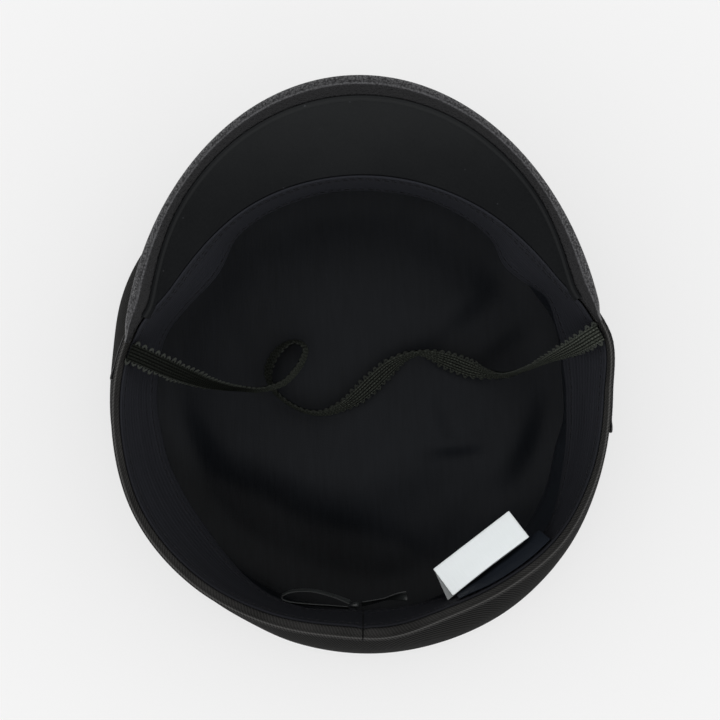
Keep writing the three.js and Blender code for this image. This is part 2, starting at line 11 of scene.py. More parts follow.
import bmesh
import bpy
from mathutils import Matrix, Vector, noise
from mathutils.geometry import interpolate_bezier
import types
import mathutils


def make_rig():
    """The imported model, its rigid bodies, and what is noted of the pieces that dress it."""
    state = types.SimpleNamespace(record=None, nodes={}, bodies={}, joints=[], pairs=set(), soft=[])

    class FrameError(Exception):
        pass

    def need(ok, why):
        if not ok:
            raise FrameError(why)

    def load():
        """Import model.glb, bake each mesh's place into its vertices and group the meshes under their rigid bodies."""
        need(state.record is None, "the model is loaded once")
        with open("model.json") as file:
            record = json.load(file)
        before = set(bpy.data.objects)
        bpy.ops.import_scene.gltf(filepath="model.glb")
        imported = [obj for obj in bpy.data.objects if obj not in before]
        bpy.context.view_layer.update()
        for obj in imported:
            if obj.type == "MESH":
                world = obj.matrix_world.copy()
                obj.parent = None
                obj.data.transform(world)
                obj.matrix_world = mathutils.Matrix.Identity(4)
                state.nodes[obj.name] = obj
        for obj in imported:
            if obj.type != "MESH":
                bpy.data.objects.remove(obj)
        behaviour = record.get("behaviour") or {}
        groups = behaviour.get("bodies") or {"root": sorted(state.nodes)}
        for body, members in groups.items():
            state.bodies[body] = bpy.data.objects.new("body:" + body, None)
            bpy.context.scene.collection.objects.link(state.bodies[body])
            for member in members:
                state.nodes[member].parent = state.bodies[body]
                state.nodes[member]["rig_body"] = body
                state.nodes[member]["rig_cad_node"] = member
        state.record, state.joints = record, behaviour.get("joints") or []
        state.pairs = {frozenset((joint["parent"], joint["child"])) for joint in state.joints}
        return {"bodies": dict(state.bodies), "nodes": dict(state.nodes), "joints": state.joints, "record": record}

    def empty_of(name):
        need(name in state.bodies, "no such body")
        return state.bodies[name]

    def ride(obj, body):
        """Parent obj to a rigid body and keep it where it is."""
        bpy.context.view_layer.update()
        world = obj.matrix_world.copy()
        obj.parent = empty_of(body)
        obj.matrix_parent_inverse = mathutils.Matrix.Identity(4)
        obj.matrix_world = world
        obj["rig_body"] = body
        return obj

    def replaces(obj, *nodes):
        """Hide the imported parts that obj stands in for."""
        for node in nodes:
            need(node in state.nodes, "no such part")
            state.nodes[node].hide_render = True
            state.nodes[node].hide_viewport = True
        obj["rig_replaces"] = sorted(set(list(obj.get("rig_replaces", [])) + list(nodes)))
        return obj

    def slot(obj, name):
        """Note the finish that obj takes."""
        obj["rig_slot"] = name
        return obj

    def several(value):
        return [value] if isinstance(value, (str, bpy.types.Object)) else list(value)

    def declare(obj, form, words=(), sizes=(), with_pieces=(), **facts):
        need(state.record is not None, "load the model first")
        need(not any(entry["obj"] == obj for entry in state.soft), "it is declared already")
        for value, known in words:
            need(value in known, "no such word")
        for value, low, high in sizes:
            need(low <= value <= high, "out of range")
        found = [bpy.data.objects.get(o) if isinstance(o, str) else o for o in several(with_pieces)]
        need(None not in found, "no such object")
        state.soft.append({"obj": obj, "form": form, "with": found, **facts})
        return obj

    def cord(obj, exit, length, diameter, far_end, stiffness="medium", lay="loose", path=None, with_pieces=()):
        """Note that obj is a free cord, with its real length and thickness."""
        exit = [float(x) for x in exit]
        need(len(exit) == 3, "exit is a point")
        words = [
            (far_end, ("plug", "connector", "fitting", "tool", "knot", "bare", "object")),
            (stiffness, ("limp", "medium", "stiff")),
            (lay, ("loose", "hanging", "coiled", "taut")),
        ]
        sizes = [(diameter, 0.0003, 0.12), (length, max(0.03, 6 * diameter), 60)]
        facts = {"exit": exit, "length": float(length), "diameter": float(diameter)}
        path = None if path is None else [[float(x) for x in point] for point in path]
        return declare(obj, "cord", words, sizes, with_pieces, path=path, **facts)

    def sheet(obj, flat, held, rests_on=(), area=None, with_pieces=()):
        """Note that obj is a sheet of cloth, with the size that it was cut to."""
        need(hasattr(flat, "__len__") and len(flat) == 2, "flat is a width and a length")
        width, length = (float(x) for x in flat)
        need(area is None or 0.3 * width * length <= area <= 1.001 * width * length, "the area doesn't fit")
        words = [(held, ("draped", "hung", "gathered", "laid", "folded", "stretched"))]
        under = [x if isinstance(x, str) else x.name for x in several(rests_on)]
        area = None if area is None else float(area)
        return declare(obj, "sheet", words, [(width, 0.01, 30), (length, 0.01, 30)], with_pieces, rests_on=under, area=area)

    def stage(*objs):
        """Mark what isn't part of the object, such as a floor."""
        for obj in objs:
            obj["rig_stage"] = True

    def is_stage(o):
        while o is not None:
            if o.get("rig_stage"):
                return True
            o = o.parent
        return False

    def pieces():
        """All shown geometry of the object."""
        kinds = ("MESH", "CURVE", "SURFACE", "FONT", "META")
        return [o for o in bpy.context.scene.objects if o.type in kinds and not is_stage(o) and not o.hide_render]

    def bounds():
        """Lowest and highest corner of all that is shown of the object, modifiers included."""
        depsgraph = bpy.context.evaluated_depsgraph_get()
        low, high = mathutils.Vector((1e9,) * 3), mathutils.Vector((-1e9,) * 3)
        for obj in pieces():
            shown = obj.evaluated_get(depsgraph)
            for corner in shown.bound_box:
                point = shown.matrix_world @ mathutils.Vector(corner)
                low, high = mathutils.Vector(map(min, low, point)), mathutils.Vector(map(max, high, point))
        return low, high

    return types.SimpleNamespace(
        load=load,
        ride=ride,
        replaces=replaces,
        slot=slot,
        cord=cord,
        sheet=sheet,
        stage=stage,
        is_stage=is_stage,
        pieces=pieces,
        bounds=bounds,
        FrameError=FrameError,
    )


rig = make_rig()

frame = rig.load()
cad_box = [list(corner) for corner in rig.bounds()]
print("nodes to dress:", sorted(frame["nodes"]))
print("the model's box:", cad_box)

# %% [markdown]
# ## The camera and the light
# The cap is looked at from straight above, from about a metre, with a long lens, so its sides hardly show.
# It is lit as in a light tent: bright low down, a little dimmer overhead, where the camera looks in, and with
# a brighter wall at the left and the right. Black cloth then stays black where it faces up, and folds and
# rounded edges catch the bright walls. A world whose brightness depends on the direction does this with no
# lamps, and gives the softest shadows.

# %% Camera and world
RIM_Z = 0.080
CAMERA_OVER = (-0.0020, 0.0174)
CAMERA_ABOVE_RIM = 1.0
CAMERA_LENS = 136.25
CAMERA_TURN = math.radians(-3.2)
TENT_LOW = 1.30
TENT_HIGH = 0.92
TENT_WALLS = 0.60
TABLE_GLOW = 0.60
TABLE_SHADE = 0.28

scene = bpy.context.scene
scene.view_settings.view_transform = "Standard"

camera = bpy.data.objects.new("camera", bpy.data.cameras.new("camera"))
camera.data.lens = CAMERA_LENS
camera.location = (*CAMERA_OVER, RIM_Z + CAMERA_ABOVE_RIM)
camera.rotation_euler = (0, 0, CAMERA_TURN)
scene.collection.objects.link(camera)
scene.camera = camera

world = bpy.data.worlds.new("light tent")
world.use_nodes = True
scene.world = world


def put(tree, socket, value):
    """Links a socket to another, or sets its constant."""
    if isinstance(value, bpy.types.NodeSocket):
        tree.links.new(value, socket)
    else:
        socket.default_value = value


def add_node(tree, kind, settings, values):
    node = tree.nodes.new("ShaderNode" + kind)
    for key, setting in settings.items():
        setattr(node, key, setting)
    for key, value in values.items():
        put(tree, node.inputs[key], value)
    return node


def in_tent(kind, settings, values):
    """Adds one node to the world, and gives its first output."""
    return add_node(world.node_tree, kind, settings, values).outputs[0]


EASED = {"interpolation_type": "SMOOTHSTEP"}
direction = in_tent("SeparateXYZ", {}, {0: in_tent("TexCoord", {}, {})}).node
sideways = in_tent("Math", {"operation": "ABSOLUTE"}, {0: direction.outputs["X"]})
overhead = in_tent("MapRange", EASED, {"Value": direction.outputs["Z"], "From Min": 0.45, "From Max": 0.85,
                                       "To Min": TENT_LOW, "To Max": TENT_HIGH})
walls = in_tent("MapRange", EASED, {"Value": sideways, "From Min": 0.55, "From Max": 0.90,
                                    "To Min": 0.0, "To Max": TENT_WALLS})
background = world.node_tree.nodes["Background"]
glow = in_tent("Math", {"operation": "ADD"}, {0: overhead, 1: walls})
put(world.node_tree, background.inputs["Strength"], glow)
put(world.node_tree, background.inputs["Color"], (1, 1, 1, 1))

# %% [markdown]
# ## The cap's shape in a few tables
# Cloth has no exact shape, so the cap's is kept as short tables that go once round the head: the angle from
# the wearer's left (the middle of the visor is at 90) and what is measured there. A smooth closed curve runs
# through each column. The same tables shape the solid model, so both lie in the same place.

# %% Tables that go round the head
RIM = [  # at, radius of the band at its rim, how much of its turned-in edge shows
    (0, 0.0898, 0.0022), (12, 0.0929, 0.0019), (20, 0.0912, 0.0028), (32, 0.0876, 0.0030),
    (60, 0.0876, 0.0030), (90, 0.0886, 0.0030), (115, 0.0892, 0.0030), (145, 0.0880, 0.0030),
    (158, 0.0924, 0.0028), (168, 0.0942, 0.0026), (185, 0.0948, 0.0028), (202, 0.0950, 0.0030),
    (222, 0.0924, 0.0034), (240, 0.0889, 0.0038), (258, 0.0860, 0.0042), (272, 0.0860, 0.0044),
    (288, 0.0836, 0.0036), (304, 0.0849, 0.0032), (322, 0.0882, 0.0030), (338, 0.0889, 0.0026),
]
CROWN = [  # at, radius of the crown where it is widest
    (0, 0.0948), (30, 0.0970), (60, 0.0990), (90, 0.1005), (120, 0.1034), (140, 0.1055),
    (152, 0.1048), (166, 0.1012), (184, 0.0998), (204, 0.0988), (222, 0.0973), (237, 0.0963),
    (250, 0.0972), (270, 0.0972), (300, 0.0970), (320, 0.0960), (338, 0.0948),
]
TAPE = [  # at, radius of the sweatband's free edge
    (0, 0.0748), (18, 0.0770), (28, 0.0788), (36, 0.0749), (43, 0.0740), (50, 0.0780), (62, 0.0802),
    (90, 0.0816), (112, 0.0820), (125, 0.0802), (133, 0.0760), (140, 0.0754), (149, 0.0778),
    (158, 0.0808), (172, 0.0796), (190, 0.0782), (206, 0.0768), (218, 0.0768), (232, 0.0792),
    (244, 0.0806), (264, 0.0773), (282, 0.0774), (300, 0.0786), (322, 0.0816), (340, 0.0769),
]
SLACK = [  # at, how far the slack lining hangs in from the wall
    (0, 0.010), (25, 0.008), (55, 0.003), (90, 0.002), (140, 0.005), (175, 0.003), (215, 0.006),
    (265, 0.002), (305, 0.004), (335, 0.009),
]


def around(rows, column):
    """A smooth closed curve through one column of a table that goes once round the head."""
    count = len(rows)

    def at(i):
        return rows[i % count][0] + 360 * (i // count)

    def value(i):
        return rows[i % count][column]

    def curve(angle):
        angle %= 360
        k = max(i for i in range(count) if rows[i][0] <= angle)
        span = at(k + 1) - at(k)
        t = (angle - at(k)) / span
        leaving = (value(k + 1) - value(k - 1)) / (at(k + 1) - at(k - 1)) * span
        arriving = (value(k + 2) - value(k)) / (at(k + 2) - at(k)) * span
        bend = value(k) - value(k + 1)
        return (value(k) + t * leaving + t * t * (-3 * bend - 2 * leaving - arriving)
                + t ** 3 * (2 * bend + leaving + arriving))

    return curve


rim = around(RIM, 1)
turned = around(RIM, 2)
bulge = around(CROWN, 1)
free_edge = around(TAPE, 1)
sag = around(SLACK, 1)
girth = sum(rim(angle) for angle in range(360)) * math.radians(1)
print(f"the band is {girth:.3f} m round")


def sewn(angle):
    """Radius of the line where the sweatband is sewn to the band."""
    return rim(angle) - turned(angle)


def lerp(a, b, share):
    return a + (b - a) * share


def smoothstep(x, low, high):
    t = min(max((x - low) / (high - low), 0), 1)
    return t * t * (3 - 2 * t)


def polar(radius, angle, z):
    return Vector((radius * math.cos(math.radians(angle)), radius * math.sin(math.radians(angle)), z))


# %% [markdown]
# ## Three ways to make a piece of cloth
# A piece that goes round the head starts as a column of points, which spin sweeps round the axis. Each point
# is then moved to its own radius and height, because no real cap is a true circle. A strip or a label starts
# as a grid, which is bent into place. Both carry a UV map in metres along the cloth, so a weave keeps its
# size wherever the cloth goes. Small repeated things, such as stitches, are copies of one small shape.

# %% Making, spinning and bending
made = {}


def keep(name, bm):
    """Turns a bmesh into a piece that rides on the cap."""
    mesh = bpy.data.meshes.new(name)
    bm.to_mesh(mesh)
    bm.free()
    mesh.shade_smooth()
    piece = bpy.data.objects.new(name, mesh)
    scene.collection.objects.link(piece)
    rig.ride(piece, "root")
    made[name] = piece
    print(f"{name}: {len(mesh.polygons)} faces before its modifiers")
    return piece


def finish_edges(piece, wall=None, rounds=1):
    """Gives a single layer its thickness, and rounds it."""
    if wall is not None:
        thick = piece.modifiers.new("wall", "SOLIDIFY")
        thick.thickness = wall
        thick.offset = 0
        thick.use_even_offset = False
    if rounds > 0:
        soft = piece.modifiers.new("soft", "SUBSURF")
        soft.levels = rounds
        soft.render_levels = rounds
    return piece


def column_length(section, angle=180, rows=None):
    """How long a column of points is there, up to a row."""
    points = section(angle)[:rows]
    return sum(math.dist(a, b) for a, b in zip(points, points[1:]))


def spun(name, section, start=0, sweep=360, steps=144, closed=False):
    """Spins a column of points round the head. section(angle) lists their (radius, height)."""
    whole = sweep == 360
    middle = section(start + sweep / 2)
    rows = len(middle)
    step = sweep / steps
    bm = bmesh.new()
    uv = bm.loops.layers.uv.new("cloth")
    column = [bm.verts.new((1, 0, i)) for i in range(rows)]
    edges = [bm.edges.new(pair) for pair in zip(column, column[1:])]
    if closed:
        edges.append(bm.edges.new((column[-1], column[0])))
    bmesh.ops.rotate(bm, verts=column, matrix=Matrix.Rotation(math.radians(start), 3, "Z"))
    bmesh.ops.spin(bm, geom=column + edges, axis=(0, 0, 1), angle=math.radians(sweep), steps=steps,
                   use_merge=whole)
    if closed and not whole:
        bmesh.ops.holes_fill(bm, edges=[edge for edge in bm.edges if edge.is_boundary])

    def step_of(vert):
        turned_by = (math.degrees(math.atan2(vert.co.y, vert.co.x)) - start) % 360
        return round(turned_by / step) % round(360 / step)

    sections = [section(start + i * step) for i in range(steps + 1)]
    marks = [0]
    for a, b in zip(middle, middle[1:] + middle[:1]):
        marks.append(marks[-1] + math.dist(a, b))
    for face in bm.faces:
        spots = [(step_of(loop.vert), round(loop.vert.co.z)) for loop in face.loops]
        crosses = whole and max(spots)[0] - min(spots)[0] > 1
        closes = rows > 2 and {0, rows - 1} <= {row for _, row in spots}
        for loop, (turn, row) in zip(face.loops, spots):
            turn += steps * (crosses and turn == 0)
            loop[uv].uv = (turn * step / 360 * girth, marks[rows if closes and row == 0 else row])
    for vert in bm.verts:
        turn = step_of(vert)
        radius, height = sections[turn][round(vert.co.z)]
        vert.co = polar(radius, start + turn * step, height)
    bmesh.ops.remove_doubles(bm, verts=bm.verts, dist=1e-6)
    bmesh.ops.recalc_face_normals(bm, faces=bm.faces)
    return keep(name, bm)


def bent(name, columns, rows, size, place):
    """Bends a flat grid of cloth. place(u, v) is where a point of the unit square goes."""
    bm = bmesh.new()
    bmesh.ops.create_grid(bm, x_segments=columns, y_segments=rows, size=0.5)
    uv = bm.loops.layers.uv.new("cloth")
    for face in bm.faces:
        for loop in face.loops:
            loop[uv].uv = ((loop.vert.co.x + 0.5) * size[0], (loop.vert.co.y + 0.5) * size[1])
    for vert in bm.verts:
        vert.co = place(vert.co.x + 0.5, vert.co.y + 0.5)
    return keep(name, bm)


def copies(name, shape, places):
    """Copies of one small bmesh, one for each matrix."""
    pattern = bpy.data.meshes.new(name + "_pattern")
    shape.to_mesh(pattern)
    shape.free()
    bm = bmesh.new()
    for place in places:
        before = len(bm.verts)
        bm.from_mesh(pattern)
        bm.verts.ensure_lookup_table()
        bmesh.ops.transform(bm, verts=bm.verts[before:], matrix=place)
    bpy.data.meshes.remove(pattern)
    bmesh.ops.recalc_face_normals(bm, faces=bm.faces)
    return keep(name, bm)


def stitch_row(name, line, spacing=0.0030, length=0.0022, radius=0.00018):
    """Stitches along a line of points, one every `spacing`: each is a long bead."""
    places = []
    left = 0
    for a, b in zip(line, line[1:]):
        run = (b - a).length
        while left < run:
            turn = (b - a).to_track_quat("X", "Z").to_matrix().to_4x4()
            places.append(Matrix.Translation(a.lerp(b, left / run)) @ turn)
            left += spacing
        left -= run
    bead = bmesh.new()
    bmesh.ops.create_uvsphere(bead, u_segments=6, v_segments=4, radius=1,
                              matrix=Matrix.Diagonal((length / 2, radius, radius, 1)))
    return copies(name, bead, places)


# %% [markdown]
# ## The chin elastic
# A free cord comes before the rest, because it decides whether everything fits. The real one is a flat braid about 6
# mm wide with small thread loops, called picots, along both edges. It is sewn in at both ends, comes down the sides,
# and lies slack on the lining, where it stands on its edge, twists and crosses itself once. A list of points says
# where it goes and how far it leans over, from 0 where it lies flat to 90 where it stands up. Its ribs are raised
# lines of the grid, because they catch the light.

# %% The elastic's route
ELASTIC = [  # x, y, z, lean
    (-0.0864, 0.0252, 0.0792, 0), (-0.0809, 0.0225, 0.0784, 8), (-0.0741, 0.0188, 0.0725, 15),
    (-0.0668, 0.0150, 0.0620, 35), (-0.0602, 0.0119, 0.0500, 55), (-0.0540, 0.0100, 0.0405, 70),
    (-0.0476, 0.0088, 0.0330, 78), (-0.0405, 0.0082, 0.0270, 80), (-0.0320, 0.0105, 0.0215, 76),
    (-0.0255, 0.0168, 0.0160, 75), (-0.0232, 0.0233, 0.0136, 80), (-0.0275, 0.0260, 0.0130, 84),
    (-0.0338, 0.0227, 0.0125, 70), (-0.0378, 0.0162, 0.0122, 66), (-0.0374, 0.0095, 0.0120, 78),
    (-0.0330, 0.0038, 0.0120, 82), (-0.0258, -0.0009, 0.0120, 82), (-0.0180, -0.0025, 0.0120, 76),
    (-0.0100, -0.0002, 0.0116, 60), (-0.0039, 0.0033, 0.0110, 36), (0.0022, 0.0081, 0.0106, 22),
    (0.0088, 0.0136, 0.0108, 36), (0.0145, 0.0172, 0.0114, 62), (0.0209, 0.0189, 0.0120, 80),
    (0.0267, 0.0177, 0.0120, 60), (0.0340, 0.0146, 0.0114, 28), (0.0409, 0.0115, 0.0116, 32),
    (0.0478, 0.0095, 0.0150, 64), (0.0539, 0.0088, 0.0240, 80), (0.0598, 0.0101, 0.0370, 80),
    (0.0659, 0.0125, 0.0505, 72), (0.0716, 0.0151, 0.0625, 52), (0.0778, 0.0180, 0.0725, 28),
    (0.0824, 0.0206, 0.0784, 8), (0.0866, 0.0228, 0.0792, 0),
]
ELASTIC_WIDTH = 0.0062  # without its picots
ELASTIC_WALL = 0.0008
ELASTIC_RIBS = 5
ELASTIC_RIB = ELASTIC_WIDTH / ELASTIC_RIBS
ELASTIC_RIB_RISE = 0.0003
ELASTIC_STEPS = 360
PICOT_SPACING = 0.0026
PICOT_REACH = 0.0015
PICOT_HALF = 0.0008
PICOT_THREAD = 0.00034
PICOT_UNEVEN = 0.4  # share of its reach
PICOT_NOISE = 900  # lumps to a metre


class Band:
    """A flat band's route: where each point along and across it lies."""

    def __init__(self, rows):
        points = [Vector(row[:3]) for row in rows]
        leans = [row[3] for row in rows]
        ends = [points[0], *points, points[-1]]
        self.line, self.leans = [], []
        steps = 12
        for k, (before, start, end, after) in enumerate(zip(ends, ends[1:], ends[2:], ends[3:])):
            leaving, arriving = start + (end - before) / 6, end - (after - start) / 6
            self.line += interpolate_bezier(start, leaving, arriving, end, steps + 1)[:-1]
            self.leans += [lerp(leans[k], leans[k + 1], i / steps) for i in range(steps)]
        self.line.append(points[-1])
        self.leans.append(leans[-1])
        self.marks = [0]
        for a, b in zip(self.line, self.line[1:]):
            self.marks.append(self.marks[-1] + (b - a).length)
        self.length = self.marks[-1]

    def at(self, share):
        """The middle of the band there, and its directions along, across and out of its face."""
        reach = min(max(share, 0), 1) * self.length
        k = max(i for i in range(len(self.marks) - 1) if self.marks[i] <= reach or i == 0)
        part = (reach - self.marks[k]) / (self.marks[k + 1] - self.marks[k])
        middle = self.line[k].lerp(self.line[k + 1], part)
        a, b = self.line[max(k - 1, 0)], self.line[min(k + 2, len(self.line) - 1)]
        along = (b - a).normalized()
        flat = Vector((0, 0, 1)).cross(along).normalized()
        lean = math.radians(lerp(self.leans[k], self.leans[k + 1], part))
        across = flat * math.cos(lean) + along.cross(flat) * math.sin(lean)
        return middle, along, across, along.cross(across)

    def route(self, steps):
        return [self.at(i / steps)[0] for i in range(steps + 1)]


elastic_band = Band(ELASTIC)
print(f"the elastic is {elastic_band.length:.3f} m long")


# %% The elastic and its picots
def on_elastic(u, v):
    middle, _, across, out = elastic_band.at(u)
    rib = ELASTIC_RIB_RISE * math.cos(2 * math.pi * ELASTIC_RIBS * v)
    return middle + across * (v - 0.5) * ELASTIC_WIDTH + out * rib


elastic = bent("chin_elastic_braid", ELASTIC_STEPS, 4 * ELASTIC_RIBS, (elastic_band.length, ELASTIC_WIDTH),
               on_elastic)
finish_edges(elastic, ELASTIC_WALL, rounds=0)

loop_of_thread = bmesh.new()
bmesh.ops.create_circle(loop_of_thread, segments=6, radius=PICOT_THREAD)
bmesh.ops.rotate(loop_of_thread, verts=loop_of_thread.verts, matrix=Matrix.Rotation(math.pi / 2, 3, "X"))
bmesh.ops.translate(loop_of_thread, verts=loop_of_thread.verts, vec=(PICOT_HALF, 0, 0))
bmesh.ops.spin(loop_of_thread, geom=loop_of_thread.verts[:] + loop_of_thread.edges[:], axis=(0, 0, 1),
               angle=math.pi, steps=5)
bmesh.ops.holes_fill(loop_of_thread, edges=[edge for edge in loop_of_thread.edges if edge.is_boundary])
bmesh.ops.scale(loop_of_thread, verts=loop_of_thread.verts, vec=(1, PICOT_REACH / PICOT_HALF, 1))

picot_places = []
picot_count = int(elastic_band.length / PICOT_SPACING)
for side in (-1, 1):
    for i in range(picot_count):
        middle, along, across, out = elastic_band.at((i + 0.5 + 0.25 * side) / picot_count)
        base = middle + across * side * (ELASTIC_WIDTH / 2 - PICOT_THREAD)
        axes = Matrix((along, across * side, out)).transposed().to_4x4()
        tall = Matrix.Diagonal((1, 1 + PICOT_UNEVEN * noise.noise(base * PICOT_NOISE), 1, 1))
        picot_places.append(Matrix.Translation(base) @ axes @ tall)
elastic_picots = copies("chin_elastic_picots", loop_of_thread, picot_places)
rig.replaces(elastic, "chin_elastic")
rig.cord(elastic, exit=elastic_band.line[0], length=elastic_band.length, diameter=ELASTIC_WIDTH,
        far_end="object", stiffness="limp", lay="loose", path=elastic_band.route(ELASTIC_STEPS),
        with_pieces=[elastic_picots])

# %% [markdown]
# ## The ribbon bow
# A narrow satin ribbon comes out of the sweatband at the back and is tied there. Only its loop, its knot and
# one end show. It is bent from flat grids like the elastic, and the knot is a pinched ball.

# %% Loop, tail and knot
BOW_LOOP = [  # x, y, z, lean
    (-0.0108, -0.0742, 0.0482, 70), (-0.0170, -0.0714, 0.0476, 76), (-0.0250, -0.0690, 0.0472, 78),
    (-0.0325, -0.0688, 0.0472, 80), (-0.0368, -0.0706, 0.0472, 84), (-0.0340, -0.0726, 0.0472, 80),
    (-0.0260, -0.0740, 0.0472, 78), (-0.0180, -0.0750, 0.0476, 76), (-0.0114, -0.0760, 0.0482, 70),
]
BOW_TAIL = [
    (-0.0066, -0.0748, 0.0482, 60), (-0.0020, -0.0742, 0.0478, 66), (0.0026, -0.0734, 0.0478, 74),
    (0.0068, -0.0728, 0.0484, 46), (0.0109, -0.0727, 0.0494, 6),
]
KNOT = Vector((-0.0090, -0.0752, 0.0482))
KNOT_HALF = (0.0019, 0.0013, 0.0024)
KNOT_PINCH = 0.18
RIBBON_WIDTH = 0.0040
RIBBON_WALL = 0.0004
RIBBON_CURL = 0.0002
LOOP_STEPS = 60


def ribbon(name, rows, steps):
    band = Band(rows)

    def on_ribbon(u, v):
        middle, _, across, out = band.at(u)
        return middle + across * (v - 0.5) * RIBBON_WIDTH + out * RIBBON_CURL * math.cos(2 * math.pi * v)

    piece = bent(name, steps, 6, (band.length, RIBBON_WIDTH), on_ribbon)
    return finish_edges(piece, RIBBON_WALL), band


bow_loop, loop_band = ribbon("ribbon_bow_loop", BOW_LOOP, LOOP_STEPS)
bow_tail, tail_band = ribbon("ribbon_bow_tail", BOW_TAIL, 24)
print(f"the bow's loop is {loop_band.length:.3f} m long, and its end {tail_band.length:.3f} m")

knot_mesh = bmesh.new()
bmesh.ops.create_uvsphere(knot_mesh, u_segments=20, v_segments=12, radius=1)
for vert in knot_mesh.verts:
    pinch = 1 - KNOT_PINCH * math.cos(3 * math.atan2(vert.co.y, vert.co.x)) * (1 - vert.co.z ** 2)
    x, y, z = (half * place for half, place in zip(KNOT_HALF, vert.co))
    vert.co = KNOT + Vector((x * pinch, y * pinch, z))
bow_knot = finish_edges(keep("ribbon_bow_knot", knot_mesh))

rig.replaces(bow_loop, "ribbon_loop")
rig.replaces(bow_tail, "ribbon_tail")
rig.replaces(bow_knot, "ribbon_knot")
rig.cord(bow_loop, exit=loop_band.line[0], length=loop_band.length, diameter=RIBBON_WIDTH, far_end="knot",
        stiffness="limp", lay="loose", path=loop_band.route(LOOP_STEPS),
        with_pieces=[bow_knot, bow_tail])

# %% [markdown]
# ## The crown
# The crown is a flat round top and a side that bulges out past the band. Each is taken for one layer of fused
# twill, and is spun and given a thickness. The side's small gathers and its slow sway come from a noise that
# only changes round the head.

# %% Crown top and side
TWILL = 0.0012
GATHER = 0.0005
SWAY = 0.0006
CROWN_TOP = [  # how far inside the bulge, height of the layer's middle
    (0.0300, 0.0008), (0.0160, 0.0008), (0.0110, 0.0013), (0.0080, 0.0025), (0.0062, 0.0040),
    (0.0056, 0.0048), (0.0066, 0.0056), (0.0090, 0.0050),
]
CROWN_SIDE = [  # height, share of the way out from the band to the bulge, how far inside that
    (0.0062, 1, 0.0078), (0.0052, 1, 0.0062), (0.0054, 1, 0.0048), (0.0068, 1, 0.0036),
    (0.0088, 1, 0.0024), (0.0125, 1, 0.0012), (0.0160, 1, 0.0007), (0.0200, 1, 0.0006),
    (0.0245, 0.95, 0.0006), (0.0290, 0.82, 0.0006), (0.0330, 0.62, 0.0006), (0.0370, 0.36, 0.0006),
    (0.0400, 0.14, 0.0006), (0.0424, 0.02, 0.0006), (0.0440, 0, 0.0007), (0.0470, 0, 0.0008),
]


DEGREES_PER_RADIAN = 57.3


def ripple(angle, period, seed):
    """Noise that only changes round the head, from about -1 to 1."""
    return noise.noise(polar(DEGREES_PER_RADIAN / period, angle, seed))


def crown_top_section(angle):
    flat = CROWN_TOP[0][1]
    return [(0, flat), (0.03, flat)] + [(bulge(angle) - inside, z) for inside, z in CROWN_TOP]


def crown_side_section(angle):
    points = []
    for z, share, inside in CROWN_SIDE:
        gather = GATHER * ripple(angle, 7, 0.3) * 4 * share * (1 - share)
        sway = SWAY * ripple(angle, 25, 5) * share
        points.append((lerp(rim(angle) - 0.0015, bulge(angle), share) - inside + (gather + sway), z))
    return points


crown_top = finish_edges(spun("crown_top_twill", crown_top_section), TWILL)
crown_side = finish_edges(spun("crown_side_twill", crown_side_section), TWILL)
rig.replaces(crown_top, "crown_top")
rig.replaces(crown_side, "crown_side")

# %% [markdown]
# ## The head band
# The band is an upright wall of twill over stiff interfacing. At the rim the twill is folded in, so the edge
# shows as a rounded ridge with a narrow sloping strip inside it, which ends where the sweatband is sewn on.
# One column of points goes up the outside, over the ridge, along the strip and down out of sight. At the back
# seam the ridge dips in a small notch.

# %% Head band
BACK_SEAM = 265.5  # the angle where the band and the sweatband are joined
BACK_NOTCH = 0.0012
BACK_NOTCH_TURN = 0.7  # degrees
BAND_SPREAD = 0.0008
BAND_WALL = 0.0008
BAND_LOW_Z = 0.043
BAND_RIDGE_LOW_Z = 0.077
BAND_OUTSIDE = [  # height, how far inside the rim's radius
    (0.0432, -0.0002), (0.0440, -0.0004), (0.0470, -0.0003), (0.0550, -0.0001), (0.0650, 0.0001),
    (0.0740, 0.0003), (0.0775, 0.0003), (0.0789, 0.0005), (0.0796, 0.0009), (0.0794, 0.0014),
]
BAND_FOLD = 8  # the row that is the top of the fold
BAND_STRIP = [  # height, share of the way from the ridge's inside to the seam
    (0.0786, 0.10), (0.0785, 0.35), (0.0783, 0.65), (0.0778, 0.90), (0.0768, 1.05), (0.0740, 1.10),
    (0.0715, 1.08),
]


def band_section(angle):
    ridge, seam = BAND_OUTSIDE[-1][1], turned(angle) + 0.0002
    outside = [(rim(angle) - inside, z) for z, inside in BAND_OUTSIDE]
    strip = [(rim(angle) - lerp(ridge, seam, share), z) for z, share in BAND_STRIP]
    notch = BACK_NOTCH * math.exp(-((angle - BACK_SEAM) / BACK_NOTCH_TURN) ** 2)
    return [(radius, z - notch * (z > BAND_RIDGE_LOW_Z)) for radius, z in outside + strip]


band = finish_edges(spun("head_band_twill", band_section, steps=240), BAND_WALL)
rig.replaces(band, "head_band")

# %% [markdown]
# ## The sweatband
# A ribbed navy tape is sewn inside the rim, and its free edge leans in and waves. It has a step where its hem
# ends, a fine wave of its own, and a low bump at the back seam. In front its sewn edge rises over the visor's
# root and hides it. Stitches run along its top, along the visor and along its hem.

